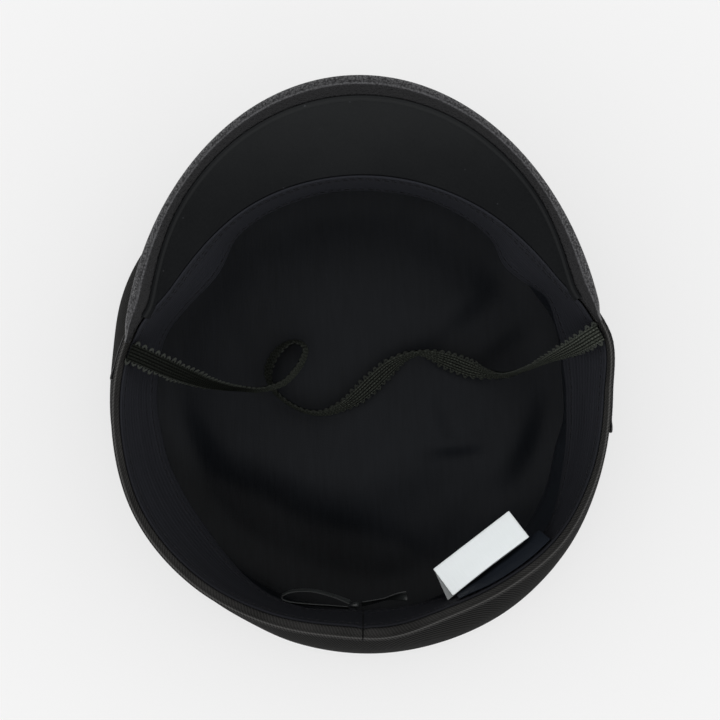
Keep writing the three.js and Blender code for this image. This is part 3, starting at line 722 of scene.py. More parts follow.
# %% Sweatband
TAPE_TOP_Z = 0.0783
TAPE_LOW_Z = 0.0495
TAPE_WALL = 0.0009
TAPE_INSIDE_SEAM = 0.00085
TAPE_OUTSIDE_EDGE = 0.0005  # how far the tape's middle lies outside its free edge in the table
TAPE_LEAN = 1.2  # over 1, it leans in more towards its free edge
TAPE_WAVE = 0.0004
TAPE_SEAM = 0.0007
TAPE_SEAM_TURN = 0.9  # degrees
TAPE_FRONT_LIFT = 0.0040
TAPE_LIFTS_OVER = 5  # degrees
TAPE_DOWN = [0, 0.04, 0.10, 0.17, 0.26, 0.36, 0.46, 0.56, 0.66, 0.74, 0.79, 0.81, 0.88, 0.95, 1]
HEM_FROM = 0.80
HEM_STEP = 0.0003
STITCH_FACE = 0.00062  # how far from the tape's middle its stitches lie
VISOR_RIGHT = 17
VISOR_LEFT = 162


def over_visor(angle):
    """1 over the visor's root, 0 at the back, easing in between."""
    begun = smoothstep(angle % 360, VISOR_RIGHT, VISOR_RIGHT + TAPE_LIFTS_OVER)
    return begun * (1 - smoothstep(angle % 360, VISOR_LEFT - TAPE_LIFTS_OVER, VISOR_LEFT))


def tape_at(angle, down, inwards=0.0):
    """A point of the sweatband: down is 0 at its sewn edge and 1 at its free one."""
    top, edge = sewn(angle) - TAPE_INSIDE_SEAM, free_edge(angle) + TAPE_OUTSIDE_EDGE
    wave = TAPE_WAVE * ripple(angle, 9, 8.5) * down
    hem = HEM_STEP if down > HEM_FROM else 0
    seam = TAPE_SEAM * math.exp(-((angle - BACK_SEAM) / TAPE_SEAM_TURN) ** 2)
    height = lerp(TAPE_TOP_Z + TAPE_FRONT_LIFT * over_visor(angle), TAPE_LOW_Z, down)
    return lerp(top, edge, down ** TAPE_LEAN) - hem + wave + seam - inwards, height


def tape_section(angle):
    return [tape_at(angle, down) for down in TAPE_DOWN]


sweatband = finish_edges(spun("sweatband_tape", tape_section, steps=240), TAPE_WALL)
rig.replaces(sweatband, "sweatband")


def tape_line(down, start, end):
    """A line round the face of the sweatband, with a point every half degree."""
    points = []
    for half_degree in range(2 * start, 2 * end + 1):
        angle = half_degree / 2
        radius, height = tape_at(angle, down, STITCH_FACE)
        points.append(polar(radius, angle, height))
    return points


tape_stitches = [
    stitch_row("sweatband_seam_stitches", tape_line(0.12, 0, 360)),
    stitch_row("sweatband_front_stitches", tape_line(0.22, 26, 152)),
    stitch_row("sweatband_hem_stitches", tape_line(0.84, 0, 360)),
]

# %% [markdown]
# ## The lining
# The lining is a thin black cloth, a little too large for the cap. Its top lies on the crown in long soft
# folds. Each fold is one row of a table: a long hill or valley, with its middle, its direction and its size.
# The side hangs slack, further in where the table above says so.

# %% The lining's folds
LINING_WALL = 0.0008
FLOOR_Z = 0.0052
LINING_HEM_Z = 0.0074
FLOOR_IN = 0.0116
FLOOR_LOWEST_Z = 0.0032
CRUMPLE = 0.0004
CRUMPLE_NOISE = 60  # lumps to a metre
LINING_INSIDE_BAND = 0.0031
FOLDS = [  # x, y, turn, length, width, rise
    (-0.049, -0.042, -20, 0.042, 0.0160, -0.0036), (-0.0375, -0.0205, -22, 0.038, 0.0130, 0.0022),
    (-0.040, -0.066, -24, 0.026, 0.0090, 0.0012), (-0.004, -0.062, -8, 0.030, 0.0120, -0.0030),
    (0.004, -0.024, 24, 0.030, 0.0150, 0.0028), (0.000, 0.052, 0, 0.040, 0.0220, 0.0022),
    (0.043, 0.029, 34, 0.022, 0.0070, -0.0014), (0.038, 0.039, 34, 0.020, 0.0080, 0.0018),
    (0.056, 0.047, 15, 0.012, 0.0070, -0.0014), (0.060, 0.019, 24, 0.014, 0.0060, -0.0014),
    (-0.012, 0.012, 35, 0.005, 0.0024, -0.0008), (0.026, -0.004, -72, 0.009, 0.0030, 0.0014),
    (0.030, -0.008, -72, 0.008, 0.0028, -0.0013), (0.033, -0.0180, 2, 0.012, 0.0032, 0.0014),
    (0.033, -0.0228, 2, 0.014, 0.0032, -0.0006), (0.057, -0.018, 62, 0.018, 0.0060, 0.0020),
    (0.065, -0.024, 66, 0.020, 0.0060, -0.0010), (0.054, -0.045, 40, 0.018, 0.0070, 0.0018),
    (-0.071, -0.010, -65, 0.022, 0.0065, -0.0024),
]


def floor_height(x, y):
    rise = 0
    for fold_x, fold_y, turn, length, width, height in FOLDS:
        c, s = math.cos(math.radians(turn)), math.sin(math.radians(turn))
        along = (x - fold_x) * c + (y - fold_y) * s
        across = (y - fold_y) * c - (x - fold_x) * s
        rise += height * math.exp(-((along / length) ** 2) - (across / width) ** 2)
    crumple = CRUMPLE * noise.noise(Vector((x * CRUMPLE_NOISE, y * CRUMPLE_NOISE, 3)))
    return FLOOR_Z + rise + crumple


FLOOR_RINGS = [0, 0.04, 0.09] + [0.14 + 0.05 * i for i in range(17)] + [0.965, 0.985, 1]


def lining_top_section(angle):
    edge = bulge(angle) - FLOOR_IN - 0.001
    points = []
    for share in FLOOR_RINGS:
        spot = polar(edge * share, angle, 0)
        level = lerp(floor_height(spot.x, spot.y), LINING_HEM_Z, smoothstep(share, 0.8, 1))
        points.append((edge * share, max(level, FLOOR_LOWEST_Z) - LINING_WALL / 2))
    return points


LINING_SIDE = [  # height, share of the way out to the floor's edge, share of the slack
    (LINING_HEM_Z, 1, 0), (0.0100, 0.95, 0.15), (0.0130, 0.86, 0.35), (0.0160, 0.75, 0.55),
    (0.0210, 0.58, 0.82), (0.0260, 0.40, 1), (0.0315, 0.20, 0.92), (0.0370, 0.06, 0.72),
    (0.0425, 0.01, 0.32), (0.0480, 0, 0), (0.0590, 0, 0), (0.0700, 0, 0),
]


def lining_side_section(angle):
    points = []
    for z, to_floor, slack in LINING_SIDE:
        wall = rim(angle) - LINING_INSIDE_BAND + LINING_WALL * smoothstep(z, 0.048, 0.070)
        hang = sag(angle) * slack * (1 + 0.25 * ripple(angle, 14, 2.2))
        points.append((lerp(wall, bulge(angle) - FLOOR_IN, to_floor) - hang - LINING_WALL / 2, z))
    return points


lining_top = finish_edges(spun("lining_top_cloth", lining_top_section), LINING_WALL)
lining_side = finish_edges(spun("lining_side_cloth", lining_side_section), LINING_WALL)
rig.replaces(lining_top, "lining_top")
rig.replaces(lining_side, "lining_side")

# %% [markdown]
# ## The visor
# The visor is a stiff board covered in pebbled leathercloth, which is turned over the edge and glued down
# inside. Seen here it shows a rounded edge, a crease where the covering bends over the board, the turned
# strip, and then a fine cloth facing whose edge is turned under in a narrow roll and lies a little over the
# strip. Its outline is part of an ellipse, rounded at the ends, and it rises away from the band. One closed
# column of points, spun over the visor's angles, makes the covered board.

# %% The visor's outline and rise
VISOR_FRONT_Y = 0.1202
VISOR_HALF_WIDTH = 0.090
VISOR_MIDDLE_Y = 0.0052
VISOR_END_ROUND = 4.5
VISOR_BOARD = 0.0018
VISOR_TURNING = 0.0077
VISOR_TURNING_SIDE = 0.0057
VISOR_TURNING_END = 0.0028
VISOR_FROM_SEAM = 0.0001
VISOR_STEP_EASE = 0.002
VISOR_SIDE_POWER = 12  # the higher, the sooner the turned strip narrows away from the front
VISOR_WIDENS = (35, 5)  # degrees from the visor's end: where its strip starts to widen, and stops
VISOR_ASIDE = 0.005
VISOR_END_DEPTH = 0.002
VISOR_SLOPE = 0.53
VISOR_CURVE = 1.2  # over 1, the visor rises more steeply towards its edge
VISOR_SEAT_Z = RIM_Z + 0.0001


def visor_outline(angle):
    """Where a line out of the middle at this angle meets the visor's elliptical edge."""
    across = math.cos(math.radians(angle)) / VISOR_HALF_WIDTH
    half_length = VISOR_FRONT_Y - VISOR_MIDDLE_Y
    ahead = math.sin(math.radians(angle)) / half_length
    back = VISOR_MIDDLE_Y / half_length
    a = across ** 2 + ahead ** 2
    b = ahead * back
    outline = (b + math.sqrt(b * b - a * (back * back - 1))) / a
    from_end = min(angle - VISOR_RIGHT, VISOR_LEFT - angle) / VISOR_END_ROUND
    depth = math.sin(min(max(from_end, 0), 1) * math.pi / 2)
    full = outline * (1 - VISOR_ASIDE * math.cos(math.radians(angle)))
    return lerp(sewn(angle) + VISOR_END_DEPTH, full, max(depth, 0.1))


VISOR_DEPTH = visor_outline(90) - sewn(90)


def visor_rise(angle, radius):
    share = max((radius - sewn(angle)) / VISOR_DEPTH, 0)
    return VISOR_SLOPE * VISOR_DEPTH * share ** VISOR_CURVE


def visor_step(angle):
    """Radius of the turned strip's cut lip. The strip widens towards the visor's ends, and runs out there."""
    root = sewn(angle) + VISOR_FROM_SEAM
    begins, full = VISOR_WIDENS
    from_end = min(angle - VISOR_RIGHT, VISOR_LEFT - angle)
    turning = lerp(VISOR_TURNING_SIDE, VISOR_TURNING, math.sin(math.radians(angle)) ** VISOR_SIDE_POWER)
    turning += VISOR_TURNING_END * smoothstep(-from_end, -begins, -full)
    plain = visor_outline(angle) - root - turning
    return root + 0.5 * (plain + math.hypot(plain, VISOR_STEP_EASE))


# %% The covered board
VISOR_UPPER = [  # share from root to lip, share from lip to edge, height above the seat
    *[(share, 0, VISOR_BOARD) for share in (0, 0.2, 0.4, 0.6, 0.8, 0.94, 0.99)],
    (1, 0, 0.0019), (1, 0.02, 0.0022), (1, 0.06, 0.0023), (1, 0.20, 0.0026),
    (1, 0.40, 0.0029), (1, 0.53, 0.0030), (1, 0.57, 0.0033), (1, 0.61, 0.0032), (1, 0.66, 0.0028),
    (1, 0.74, 0.0023), (1, 0.83, 0.0016), (1, 0.92, 0.0008), (1, 0.98, 0), (1, 1, -0.0006),
]
VISOR_CREASE = 13  # the row where the covering bends over the board's edge
VISOR_LOWER = [
    (1, 0.97, -0.0010), (1, 0.88, -0.0008), (1, 0.7, -0.0002), (1, 0.5, 0),
    *[(share, 0, 0) for share in (0.9, 0.5, 0.2, 0)],
]


def visor_section(angle):
    root, lip, edge = sewn(angle) + VISOR_FROM_SEAM, visor_step(angle), visor_outline(angle)
    points = []
    for board, strip, height in VISOR_UPPER + VISOR_LOWER:
        radius = lerp(root, lip, board) + (edge - lip) * strip
        points.append((radius, VISOR_SEAT_Z + visor_rise(angle, radius) + height))
    return points


visor = spun("visor_covered_board", visor_section, VISOR_RIGHT, VISOR_LEFT - VISOR_RIGHT, 200, closed=True)
finish_edges(visor)
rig.replaces(visor, "visor")

# %% The cloth facing inside the visor
FACING_END = 7
FACING_WALL = 0.0004
FACING_GLUE = 0.0005  # from the board to the middle of the facing
FACING_ROLL = 0.0026
FACING_TUCK = 0.0005
FACING_PLAIN = [0, 0.12, 0.25, 0.4, 0.55, 0.7, 0.85, 1]  # shares of the way to its turned edge
FACING_EDGE = [  # how far inside the lip, height of its turned edge
    (0.0021, -0.0001), (0.0015, 0.0001), (0.0009, 0.0004), (0.0003, 0.0006), (-0.0004, 0.0004),
]


def facing_section(angle):
    root, lip = sewn(angle) - FACING_TUCK, visor_step(angle)
    rows = [(lerp(root, lip - FACING_ROLL, share), 0) for share in FACING_PLAIN]
    rows += [(lip - inside, turned_edge) for inside, turned_edge in FACING_EDGE]
    return [(radius, VISOR_SEAT_Z + visor_rise(angle, radius) + VISOR_BOARD + FACING_GLUE + lift)
            for radius, lift in rows]


facing = spun("visor_facing_cloth", facing_section, VISOR_RIGHT + FACING_END,
              VISOR_LEFT - VISOR_RIGHT - 2 * FACING_END, 160)
finish_edges(facing, FACING_WALL)
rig.replaces(facing, "visor_facing")

# %% [markdown]
# ## The front strap
# A narrow strap of the visor's leathercloth lies tight round the front of the band, behind the visor, where
# only its two ends show from inside. Its edges are turned and stitched, and each end is folded double.

# %% Strap and its end folds
STRAP_TOP_Z = 0.0735
STRAP_WIDTH = 0.011
STRAP_GAP = 0.0002
STRAP_WALL = 0.0008
STRAP_RIGHT = -9.5
STRAP_LEFT = 171
STRAP_NUB = 2.2  # degrees at each end that are folded double
STRAP_FOLD = 0.0007
STRAP_GROOVE = 0.0018  # from an edge to its row of stitches
STRAP_EDGE = [  # in from an edge, share of the wall
    (0, 0.3), (0, 0.8), (0.0006, 1), (0.0014, 0.95), (STRAP_GROOVE, 0.8), (0.0022, 0.92),
]


def strap_seat(angle, z):
    return rim(angle) + STRAP_GAP + BAND_SPREAD * (STRAP_TOP_Z - z) / (STRAP_TOP_Z - BAND_LOW_Z)


def strap_section(angle):
    from_end = min(angle - STRAP_RIGHT, STRAP_LEFT - angle)
    wall = STRAP_WALL + STRAP_FOLD * (1 - smoothstep(from_end, STRAP_NUB - 0.5, STRAP_NUB + 0.3))
    low, middle, high = STRAP_TOP_Z - STRAP_WIDTH, STRAP_TOP_Z - STRAP_WIDTH / 2, STRAP_TOP_Z
    outline = [(low + edge, out) for edge, out in STRAP_EDGE] + [(middle, 1)]
    outline += [(high - edge, out) for edge, out in reversed(STRAP_EDGE)]
    outline += [(high - 0.0006, 0), (middle, 0), (low + 0.0006, 0)]
    return [(strap_seat(angle, z) + out * wall, z) for z, out in outline]


strap_sweep = STRAP_LEFT - STRAP_RIGHT
strap = spun("front_strap_leathercloth", strap_section, STRAP_RIGHT, strap_sweep, 180, closed=True)
finish_edges(strap)
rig.replaces(strap, "front_strap")

STITCH_FROM_END = 2.5  # degrees
STITCH_OUT = 0.88 * STRAP_WALL
for name, z in (("front_strap_low_stitches", STRAP_TOP_Z - STRAP_WIDTH + STRAP_GROOVE),
                ("front_strap_top_stitches", STRAP_TOP_Z - STRAP_GROOVE)):
    angles = [lerp(STRAP_RIGHT + STITCH_FROM_END, STRAP_LEFT - STITCH_FROM_END, i / 360) for i in range(361)]
    stitch_row(name, [polar(strap_seat(angle, z) + STITCH_OUT, angle, z) for angle in angles])

# %% [markdown]
# ## The labels
# Two labels hang behind the rim at the back, on the wearer's left: a dark woven one, and in front of it a
# white satin tag folded in half. Both are bent grids with a thickness, and both are bare.

# %% Woven label and folded tag
LABEL_FROM, LABEL_TO = 292, 321
LABEL_LOW_Z, LABEL_TOP_Z = 0.0615, 0.0765
LABEL_LOW_INSIDE = 0.0760
LABEL_SEAT = 0.00175
LABEL_WAVE = 0.0003
LABEL_SIZE = (0.041, 0.016)
TAG_WIDTH = 0.036
TAG_LEAF = 0.0152
TAG_OPEN = 0.0032
TAG_SKEW = 0.003
TAG_CURL = 0.0006
TAG_PLACE = {"angle": 304.4, "radius": 0.0760, "z": 0.0655, "dip": 36}


def on_label(u, v):
    angle = lerp(LABEL_FROM, LABEL_TO, u)
    low = LABEL_LOW_INSIDE / math.cos(math.radians(angle - TAG_PLACE["angle"]))
    radius = lerp(low, sewn(angle) - LABEL_SEAT, v) - LABEL_WAVE
    return polar(radius + LABEL_WAVE * ripple(angle, 5, v), angle, lerp(LABEL_LOW_Z, LABEL_TOP_Z, v))


label = finish_edges(bent("woven_label_cloth", 40, 12, LABEL_SIZE, on_label), 0.0005)
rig.replaces(label, "woven_label")

# The tag's route from the side: in from its open end along the upper leaf, round the fold, and back.
TAG_ROUTE = [  # inward, up
    (0, 0.5 * TAG_OPEN), (0.5 * TAG_LEAF, 0.0009), (TAG_LEAF - 0.0008, 0.0005), (TAG_LEAF, 0),
    (TAG_LEAF - 0.0008, -0.0005), (0.5 * TAG_LEAF, -0.0011), (0.0016, -0.5 * TAG_OPEN),
]
tag_route = Band([(inward, 0, up, 0) for inward, up in TAG_ROUTE])


def on_tag(u, v):
    dip = math.radians(TAG_PLACE["dip"])
    radial = polar(1, TAG_PLACE["angle"], 0)
    across = polar(1, TAG_PLACE["angle"] + 90, 0)
    inward = Vector((*(-math.cos(dip) * radial).xy, -math.sin(dip)))
    upward = Vector((*(-math.sin(dip) * radial).xy, math.cos(dip)))
    at = tag_route.at(u)[0]
    to_end = 1 - at.x / TAG_LEAF
    curl = TAG_CURL * math.sin(math.pi * v) * to_end
    askew = TAG_SKEW * to_end * (at.z < 0)
    return (polar(TAG_PLACE["radius"], TAG_PLACE["angle"], TAG_PLACE["z"])
            + inward * at.x + upward * (at.z + curl) + across * ((0.5 - v) * TAG_WIDTH - askew))


tag = finish_edges(bent("satin_tag_cloth", 60, 24, (tag_route.length, TAG_WIDTH), on_tag), 0.0003)
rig.replaces(tag, "name_tag")

# %% [markdown]
# ## Finishes
# Nearly everything here is black, so the finishes differ in how they take the light: how rough they are, and
# the small relief of their weave or grain. Each one is built from maths on a place: on the cloth's own UV
# map, or in the cap. Both are in metres, so that a rib of a millimetre is written as a millimetre. A small
# class wraps a socket, and its operators add the Math nodes.

# %% Sockets as numbers
class Wire:
    """One output socket of a finish, which can be used in sums."""

    def __init__(self, finish, socket):
        self.finish = finish
        self.socket = socket

    def sum_of(self, operation, *values):
        return self.finish.add("Math", {"operation": operation}, dict(enumerate(values)))

    def __add__(self, other):
        return self.sum_of("ADD", self, other)

    def __sub__(self, other):
        return self.sum_of("SUBTRACT", self, other)

    def __rsub__(self, other):
        return self.sum_of("SUBTRACT", other, self)

    def __mul__(self, other):
        return self.sum_of("MULTIPLY", self, other)

    def __pow__(self, other):
        return self.sum_of("POWER", self, other)

    __radd__ = __add__
    __rmul__ = __mul__

    def wave(self, period):
        """From 0 to 1 and back in each period."""
        return self.sum_of("SINE", self * (2 * math.pi / period)) * 0.5 + 0.5

    def line(self, at, half):
        """1 within `half` of a place, and 0 from twice that."""
        return 1 - self.sum_of("ABSOLUTE", self - at).above(half, 2 * half)

    def above(self, low, high):
        """0 up to low, 1 from high, and smooth between."""
        return self.finish.add("MapRange", EASED, {"Value": self, "From Min": low, "From Max": high})


class Finish:
    """A material, and the one way to add a node to it."""

    def __init__(self, name, roughness, specular=0.5):
        self.material = bpy.data.materials.new(name)
        self.material.use_nodes = True
        self.tree = self.material.node_tree
        self.shader = self.tree.nodes["Principled BSDF"]
        self.set("Roughness", roughness)
        self.set("Specular IOR Level", specular)
        self.set("Coat Roughness", 0.25)

    def add(self, kind, settings, values, output=0):
        values = {key: value.socket if isinstance(value, Wire) else value for key, value in values.items()}
        return Wire(self, add_node(self.tree, kind, settings, values).outputs[output])

    def set(self, name, value):
        """Gives one of the shader's own inputs a wire or a constant."""
        put(self.tree, self.shader.inputs[name], value.socket if isinstance(value, Wire) else value)

    def places(self, source):
        """Two numbers that say where a point lies on the cloth, in metres, and both as a vector."""
        vector = self.add("TexCoord", {}, {}, source)
        parts = self.add("SeparateXYZ", {}, {0: vector}).socket.node
        return Wire(self, parts.outputs[0]), Wire(self, parts.outputs[1]), vector

    def cloud(self, vector, size, detail=3.0, stretch=(1, 1, 1)):
        """Noise whose lumps are about `size` metres."""
        scale = tuple(s / size for s in stretch)
        scaled = self.add("VectorMath", {"operation": "MULTIPLY"}, {0: vector, 1: scale})
        return self.add("TexNoise", {}, {"Vector": scaled, "Scale": 1.0, "Detail": detail})

    def mix(self, factor, a, b):
        """Goes from colour a to colour b. Each is a wire, or red, green and blue."""
        a, b = ((*colour, 1) if isinstance(colour, tuple) else colour for colour in (a, b))
        return self.add("Mix", {"data_type": "RGBA"}, {0: factor, 6: a, 7: b}, 2)

    def seam(self, around_head, colour):
        """Draws the dark line of the back seam."""
        return self.mix(around_head.line(BACK_SEAM / 360 * girth, 0.0002), colour, (0.001, 0.001, 0.001))

    def paint(self, colour, relief, depth, coat=None):
        self.set("Base Color", colour)
        if coat is not None:
            self.set("Coat Weight", coat)
        self.set("Normal", self.add("Bump", {}, {"Height": relief, "Distance": depth, "Strength": 1.0}))
        return self.material


# %% [markdown]
# ### Twill
# Twill has fine ribs that run aslant. They are a wave along the sum of the two places, broken up a little by noise,
# and they raise the surface and lighten the thread on top. The line where the band is folded at its rim has a slight
# gloss and a painted highlight, and past it the ribs are fainter. A thin dark line is the band's back seam.

# %% Twill
TWILL_RIB = 0.0013
TWILL_THREAD = 0.0008


def twill(name, source, light, fold=None):
    finish = Finish(name, 0.75, specular=0.05)
    u, v, vector = finish.places(source)
    wobble = finish.cloud(vector, 0.004) * 0.0004
    rib = (u + v + wobble).wave(TWILL_RIB)
    thread = (u - v).wave(TWILL_THREAD)
    uneven = finish.cloud(vector, 0.02)
    inside = 0 if fold is None else v.above(fold, fold + 0.0005)
    shade = rib * (0.9 - 0.6 * inside) + uneven * (0.1 + 0.6 * inside)
    colour = finish.mix(shade, (0.0008, 0.0008, 0.0008), light)
    ridge_highlight_and_gloss = None
    if fold is not None:
        # Painted highlight along the rim's fold; the same mask gives the fold its slight gloss.
        ridge_highlight_and_gloss = v.above(fold - 0.0003, fold) * (1 - v.above(fold + 0.0001, fold + 0.0004)) * 0.28
        colour = finish.mix(ridge_highlight_and_gloss, colour, (0.12, 0.118, 0.114))
        colour = finish.seam(u, colour)
    return finish.paint(colour, rib * 0.8 + thread * 0.2, 0.00024, coat=ridge_highlight_and_gloss)


twill_band = twill("twill of the head band", "UV", (0.036, 0.0353, 0.034),
                   fold=column_length(band_section, rows=BAND_FOLD + 1))
# The crown's side takes a darker copy of the band's twill, as painted shade where the band shades it; the top takes
# the same colour.
twill_side = twill("twill of the crown's side", "UV", (0.021, 0.0208, 0.0202))
twill_flat = twill("twill on the crown's top", "Object", (0.021, 0.0208, 0.0202))

# %% [markdown]
# ### Ribbed tape, lining and facing
# The sweatband's tape has soft ribs along it and the dark line of the back seam, and is painted a little lighter
# towards the forehead. The lining is a smooth, slightly shiny plain weave with faint streaks, with painted shade at
# the back on the wearer's right, where it sags in shadow. The facing is a fine dense cloth, painted lighter towards
# the front as painted light, with a painted highlight along its turned edge, and a few specks of lint.

# %% Tape, lining and facing
TAPE_RIB = 0.0021
TAPE_GRAIN = 0.0007
LINING_WEAVE = 0.0006


def ribbed_tape():
    finish = Finish("ribbed navy tape", 0.8, specular=0.10)
    u, v, vector = finish.places("UV")
    rib = v.wave(TAPE_RIB)
    grain = u.wave(TAPE_GRAIN) * v.wave(TAPE_GRAIN)
    streak = finish.cloud(vector, 0.008, stretch=(0.12, 3, 1))
    in_front = finish.places("Object")[1].above(-0.09, 0.09)
    shade = rib * 0.2 + streak * 0.4 + in_front * 0.5
    colour = finish.mix(shade, (0.0016, 0.0018, 0.0026), (0.0195, 0.0206, 0.0256))
    return finish.paint(finish.seam(u, colour), rib * 0.8 + grain * 0.2, 0.00012)


def lining_cloth(name, source):
    finish = Finish(name, 0.42, specular=0.10)
    u, v, vector = finish.places(source)
    weave = u.wave(LINING_WEAVE) * v.wave(LINING_WEAVE)
    streak = finish.cloud(vector, 0.006, stretch=(4, 0.4, 1))
    patch = finish.cloud(vector, 0.03)
    right, forward, _ = finish.places("Object")
    # Painted shade: the lining is darker at the back on the wearer's right.
    back_painted_shade = (right * -0.5 - forward).above(0.040, 0.064)
    shade = streak * 0.4 + patch * 0.4 + 0.2 - back_painted_shade * 0.5
    colour = finish.mix(shade, (0.0008, 0.0014, 0.0023), (0.0136, 0.0155, 0.0192))
    return finish.paint(colour, weave * 0.3 + streak * 0.7, 0.00006)


def facing_cloth():
    finish = Finish("fine facing cloth", 0.7, specular=0.04)
    _, forward, vector = finish.places("Object")
    grain = finish.cloud(vector, 0.0008)
    # Painted light: the facing is lighter towards the front.
    patch = finish.cloud(vector, 0.02) * 0.3 + forward.above(0.070, 0.120) * 0.7
    lint = finish.cloud(vector, 0.0026, 1.0).above(0.77, 0.81)
    roll = column_length(facing_section, 89.5, len(FACING_PLAIN) + 3)
    # Painted highlight along the facing's turned edge.
    ridge = finish.places("UV")[1].line(roll, 0.0004)
    soft = finish.mix(grain * 0.25 + patch * 0.75, (0.0022, 0.0025, 0.0031), (0.0185, 0.0196, 0.0202))
    soft = finish.mix(ridge * 0.35, soft, (0.0260, 0.0270, 0.0275))
    return finish.paint(finish.mix(lint, soft, (0.04, 0.042, 0.045)), grain, 0.00012)


tape_finish = ribbed_tape()
lining_round = lining_cloth("lining along the side", "UV")
lining_flat = lining_cloth("lining on the floor", "Object")
facing_finish = facing_cloth()

# %% [markdown]
# ### Pebbled leathercloth
# Its grain is small rounded cells, with fine creases between. The cells are a Voronoi pattern, bent a little by noise.
# Outside the visor's crease the tops of the grain are glossy and painted lighter, as painted glints, and at the crease
# itself they carry the lightest painted highlight.

# %% Pebbled leathercloth
PEBBLES_TO_A_METRE = 1700.0


def pebbled(name, gloss_from=None):
    finish = Finish(name, 0.5, specular=0.16)
    _, v, _ = finish.places("UV")
    _, _, vector = finish.places("Object")
    drift = finish.cloud(vector, 0.003) * 0.0006
    bent_places = finish.add("VectorMath", {"operation": "ADD"}, {0: vector, 1: drift})
    pebble = 1 - finish.add("TexVoronoi", {"feature": "SMOOTH_F1"},
                            {"Vector": bent_places, "Scale": PEBBLES_TO_A_METRE})
    fine = finish.cloud(vector, 0.0005)
    colour = finish.mix(pebble, (0.003, 0.003, 0.0033), (0.0115, 0.0115, 0.0125))
    gloss = pebble.above(0.50, 0.80) * 0.5
    if gloss_from is not None:
        # Painted glints: outside the crease the grain's tops are painted lighter, and are glossy too.
        outside = v.above(gloss_from - 0.0016, gloss_from + 0.0030)
        # Painted highlight along the crease.
        crease_highlight = v.line(gloss_from + 0.0001, 0.0003)
        gloss = gloss * outside
        colour = finish.mix(outside * pebble.above(0.20, 0.95) * 0.8, colour, (0.080, 0.080, 0.084))
        colour = finish.mix(crease_highlight * pebble * 0.7, colour, (0.110, 0.110, 0.116))
    return finish.paint(colour, pebble * 0.8 + fine * 0.2, 0.00040, coat=gloss)


pebbled_visor = pebbled("pebbled leathercloth on the visor",
                        gloss_from=column_length(visor_section, 89.5, VISOR_CREASE + 1))
pebbled_strap = pebbled("pebbled leathercloth on the strap")

# %% [markdown]
# ### Elastic, ribbon, thread and labels
# The elastic is matte thread plaited along raised ribs, dark between them, with painted shade as far as its first
# twist, on the wearer's right. The ribbon and the tag are satin: smooth, with fine streaks along the thread. The tag's
# under leaf is painted darker, as painted shade under the upper leaf.

# %% Elastic, ribbon, thread and labels
ELASTIC_PLAIT = 0.0013
# Painted shade on the tag's under leaf, where the upper leaf shades it.
UNDER_LEAF_SHADE = 0.28  # how light the tag's under leaf is, as a share


def elastic_braid():
    finish = Finish("braided elastic", 0.75, specular=0.06)
    u, v, vector = finish.places("UV")
    plait = (u + v * 0.8).wave(ELASTIC_PLAIT) * (u - v * 0.8).wave(ELASTIC_PLAIT)
    rib = (v + 0.25 * ELASTIC_RIB).wave(ELASTIC_RIB)
    fuzz = finish.cloud(vector, 0.0010)
    # Painted shade as far as the elastic's first twist.
    shade_until_twist = u.above(0.060, 0.085) * 0.85 + 0.15
    raised = rib ** 3 * (plait * 0.6 + fuzz * 0.7) * shade_until_twist
    colour = finish.mix(raised, (0.0013, 0.0017, 0.0011), (0.078, 0.086, 0.072))
    return finish.paint(colour, plait * 0.7 + fuzz * 0.3, 0.00022)


def satin(name, dark, light, roughness, specular=0.5, shade_from=None):
    finish = Finish(name, roughness, specular)
    u, _, vector = finish.places("UV")
    streak = finish.cloud(vector, 0.0012, stretch=(0.15, 3, 1))
    colour = finish.mix(streak, dark, light)
    if shade_from is not None:
        # Painted shade: the tag's under leaf is darker.
        under = u.above(shade_from, shade_from + 0.0006)
        colour = finish.mix(under, colour, tuple(UNDER_LEAF_SHADE * c for c in dark))
    return finish.paint(colour, streak, 0.00006)


def plain_thread(name, colour):
    finish = Finish(name, 0.75, specular=0.2)
    _, _, vector = finish.places("Object")
    twist = finish.cloud(vector, 0.0006)
    return finish.paint(finish.mix(twist, colour, tuple(c * 2 for c in colour)), twist, 0.00008)


elastic_finish = elastic_braid()
ribbon_finish = satin("black satin ribbon", (0.010, 0.011, 0.011), (0.030, 0.033, 0.033), 0.30)
tag_finish = satin("white satin tag", (0.80, 0.84, 0.85), (0.86, 0.90, 0.91), 0.5,
                   shade_from=0.54 * tag_route.length)
woven_finish = satin("dark navy label", (0.0030, 0.0048, 0.0080), (0.0060, 0.0090, 0.0145), 0.8, 0.15)
black_thread = plain_thread("black thread", (0.0055, 0.0055, 0.0065))
picot_thread = plain_thread("picot thread", (0.015, 0.0168, 0.0142))

# %% Dressing every piece
DRESS = {
    "crown_top_twill": (twill_flat, "twill"),
    "crown_side_twill": (twill_side, "twill"),
    "head_band_twill": (twill_band, "twill"),
    "sweatband_tape": (tape_finish, "ribbed_tape"),
    "sweatband_seam_stitches": (black_thread, "ribbed_tape"),
    "sweatband_front_stitches": (black_thread, "ribbed_tape"),
    "sweatband_hem_stitches": (black_thread, "ribbed_tape"),
    "lining_top_cloth": (lining_flat, "lining"),
    "lining_side_cloth": (lining_round, "lining"),
    "visor_covered_board": (pebbled_visor, "pebbled"),
    "visor_facing_cloth": (facing_finish, "facing"),
    "front_strap_leathercloth": (pebbled_strap, "pebbled"),
    "front_strap_low_stitches": (black_thread, "pebbled"),
    "front_strap_top_stitches": (black_thread, "pebbled"),
    "chin_elastic_braid": (elastic_finish, "elastic"),
    "chin_elastic_picots": (picot_thread, "elastic"),
    "ribbon_bow_loop": (ribbon_finish, "ribbon"),
    "ribbon_bow_tail": (ribbon_finish, "ribbon"),
    "ribbon_bow_knot": (ribbon_finish, "ribbon"),
    "woven_label_cloth": (woven_finish, "woven"),
    "satin_tag_cloth": (tag_finish, "satin"),
}
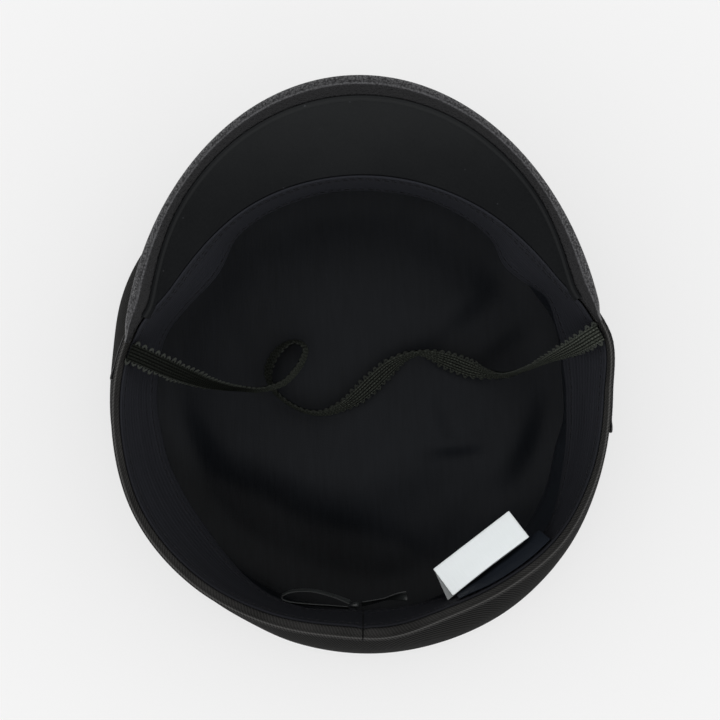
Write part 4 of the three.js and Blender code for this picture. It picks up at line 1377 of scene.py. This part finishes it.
for name, piece in made.items():
    material, slot = DRESS[name]
    piece.data.materials.append(material)
    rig.slot(piece, slot)
print(len(made), "pieces dressed")

# %% [markdown]
# ## The cloth that was cut
# Every sheet of cloth is declared with its flat size, so that its area can be checked. The long sides follow
# the girth of the band or the crown, and the short ones are measured along each piece's own column of points.

# %% Declaring the cloth
crown_radius = sum(bulge(angle) for angle in range(360)) / 360
floor_radius = crown_radius - FLOOR_IN
FACING_BLANK = (0.200, 0.060)
FACING_AREA = 0.0048


def disc(radius):
    return {"flat": (2 * radius, 2 * radius), "area": math.pi * radius ** 2}


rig.sheet(crown_top, **disc(crown_radius), held="stretched")
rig.sheet(crown_side, flat=(2 * math.pi * crown_radius, column_length(crown_side_section)), held="gathered")
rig.sheet(band, flat=(girth, column_length(band_section)), held="folded")
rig.sheet(sweatband, flat=(girth, column_length(tape_section)), held="hung", with_pieces=tape_stitches)
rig.sheet(lining_top, **disc(floor_radius), held="laid", rests_on=["crown_top_twill"])
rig.sheet(lining_side, flat=(girth, column_length(lining_side_section)), held="hung")
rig.sheet(facing, flat=FACING_BLANK, area=FACING_AREA, held="stretched", rests_on=["visor_covered_board"])
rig.sheet(label, flat=LABEL_SIZE, held="hung")
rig.sheet(tag, flat=(tag_route.length, TAG_WIDTH), held="folded")

# %% [markdown]
# ## The floor
# The floor is a plain pale light table: it glows a little, so the soft shadow round the cap stays light. It
# lies a hair under the crown, so that the two never share a plane.

# %% Floor
TABLE_HALF = 4
TABLE_UNDER = 0.0003

floor_mesh = bmesh.new()
bmesh.ops.create_grid(floor_mesh, x_segments=1, y_segments=1, size=TABLE_HALF)
bmesh.ops.translate(floor_mesh, verts=floor_mesh.verts, vec=(0, 0, -TABLE_UNDER))
floor = bpy.data.objects.new("floor", bpy.data.meshes.new("floor"))
floor_mesh.to_mesh(floor.data)
floor_mesh.free()
scene.collection.objects.link(floor)
floor_finish = Finish("light table", 0.9, specular=0.0)
floor_finish.set("Base Color", (TABLE_SHADE, TABLE_SHADE, TABLE_SHADE, 1))
floor_finish.set("Emission Color", (1, 1, 1, 1))
floor_finish.set("Emission Strength", TABLE_GLOW)
floor.data.materials.append(floor_finish.material)
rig.stage(floor)

# %% The two boxes
with open("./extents.json", "w") as sizes:
    json.dump({"cad": cad_box, "visual": [list(corner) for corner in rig.bounds()]}, sizes)
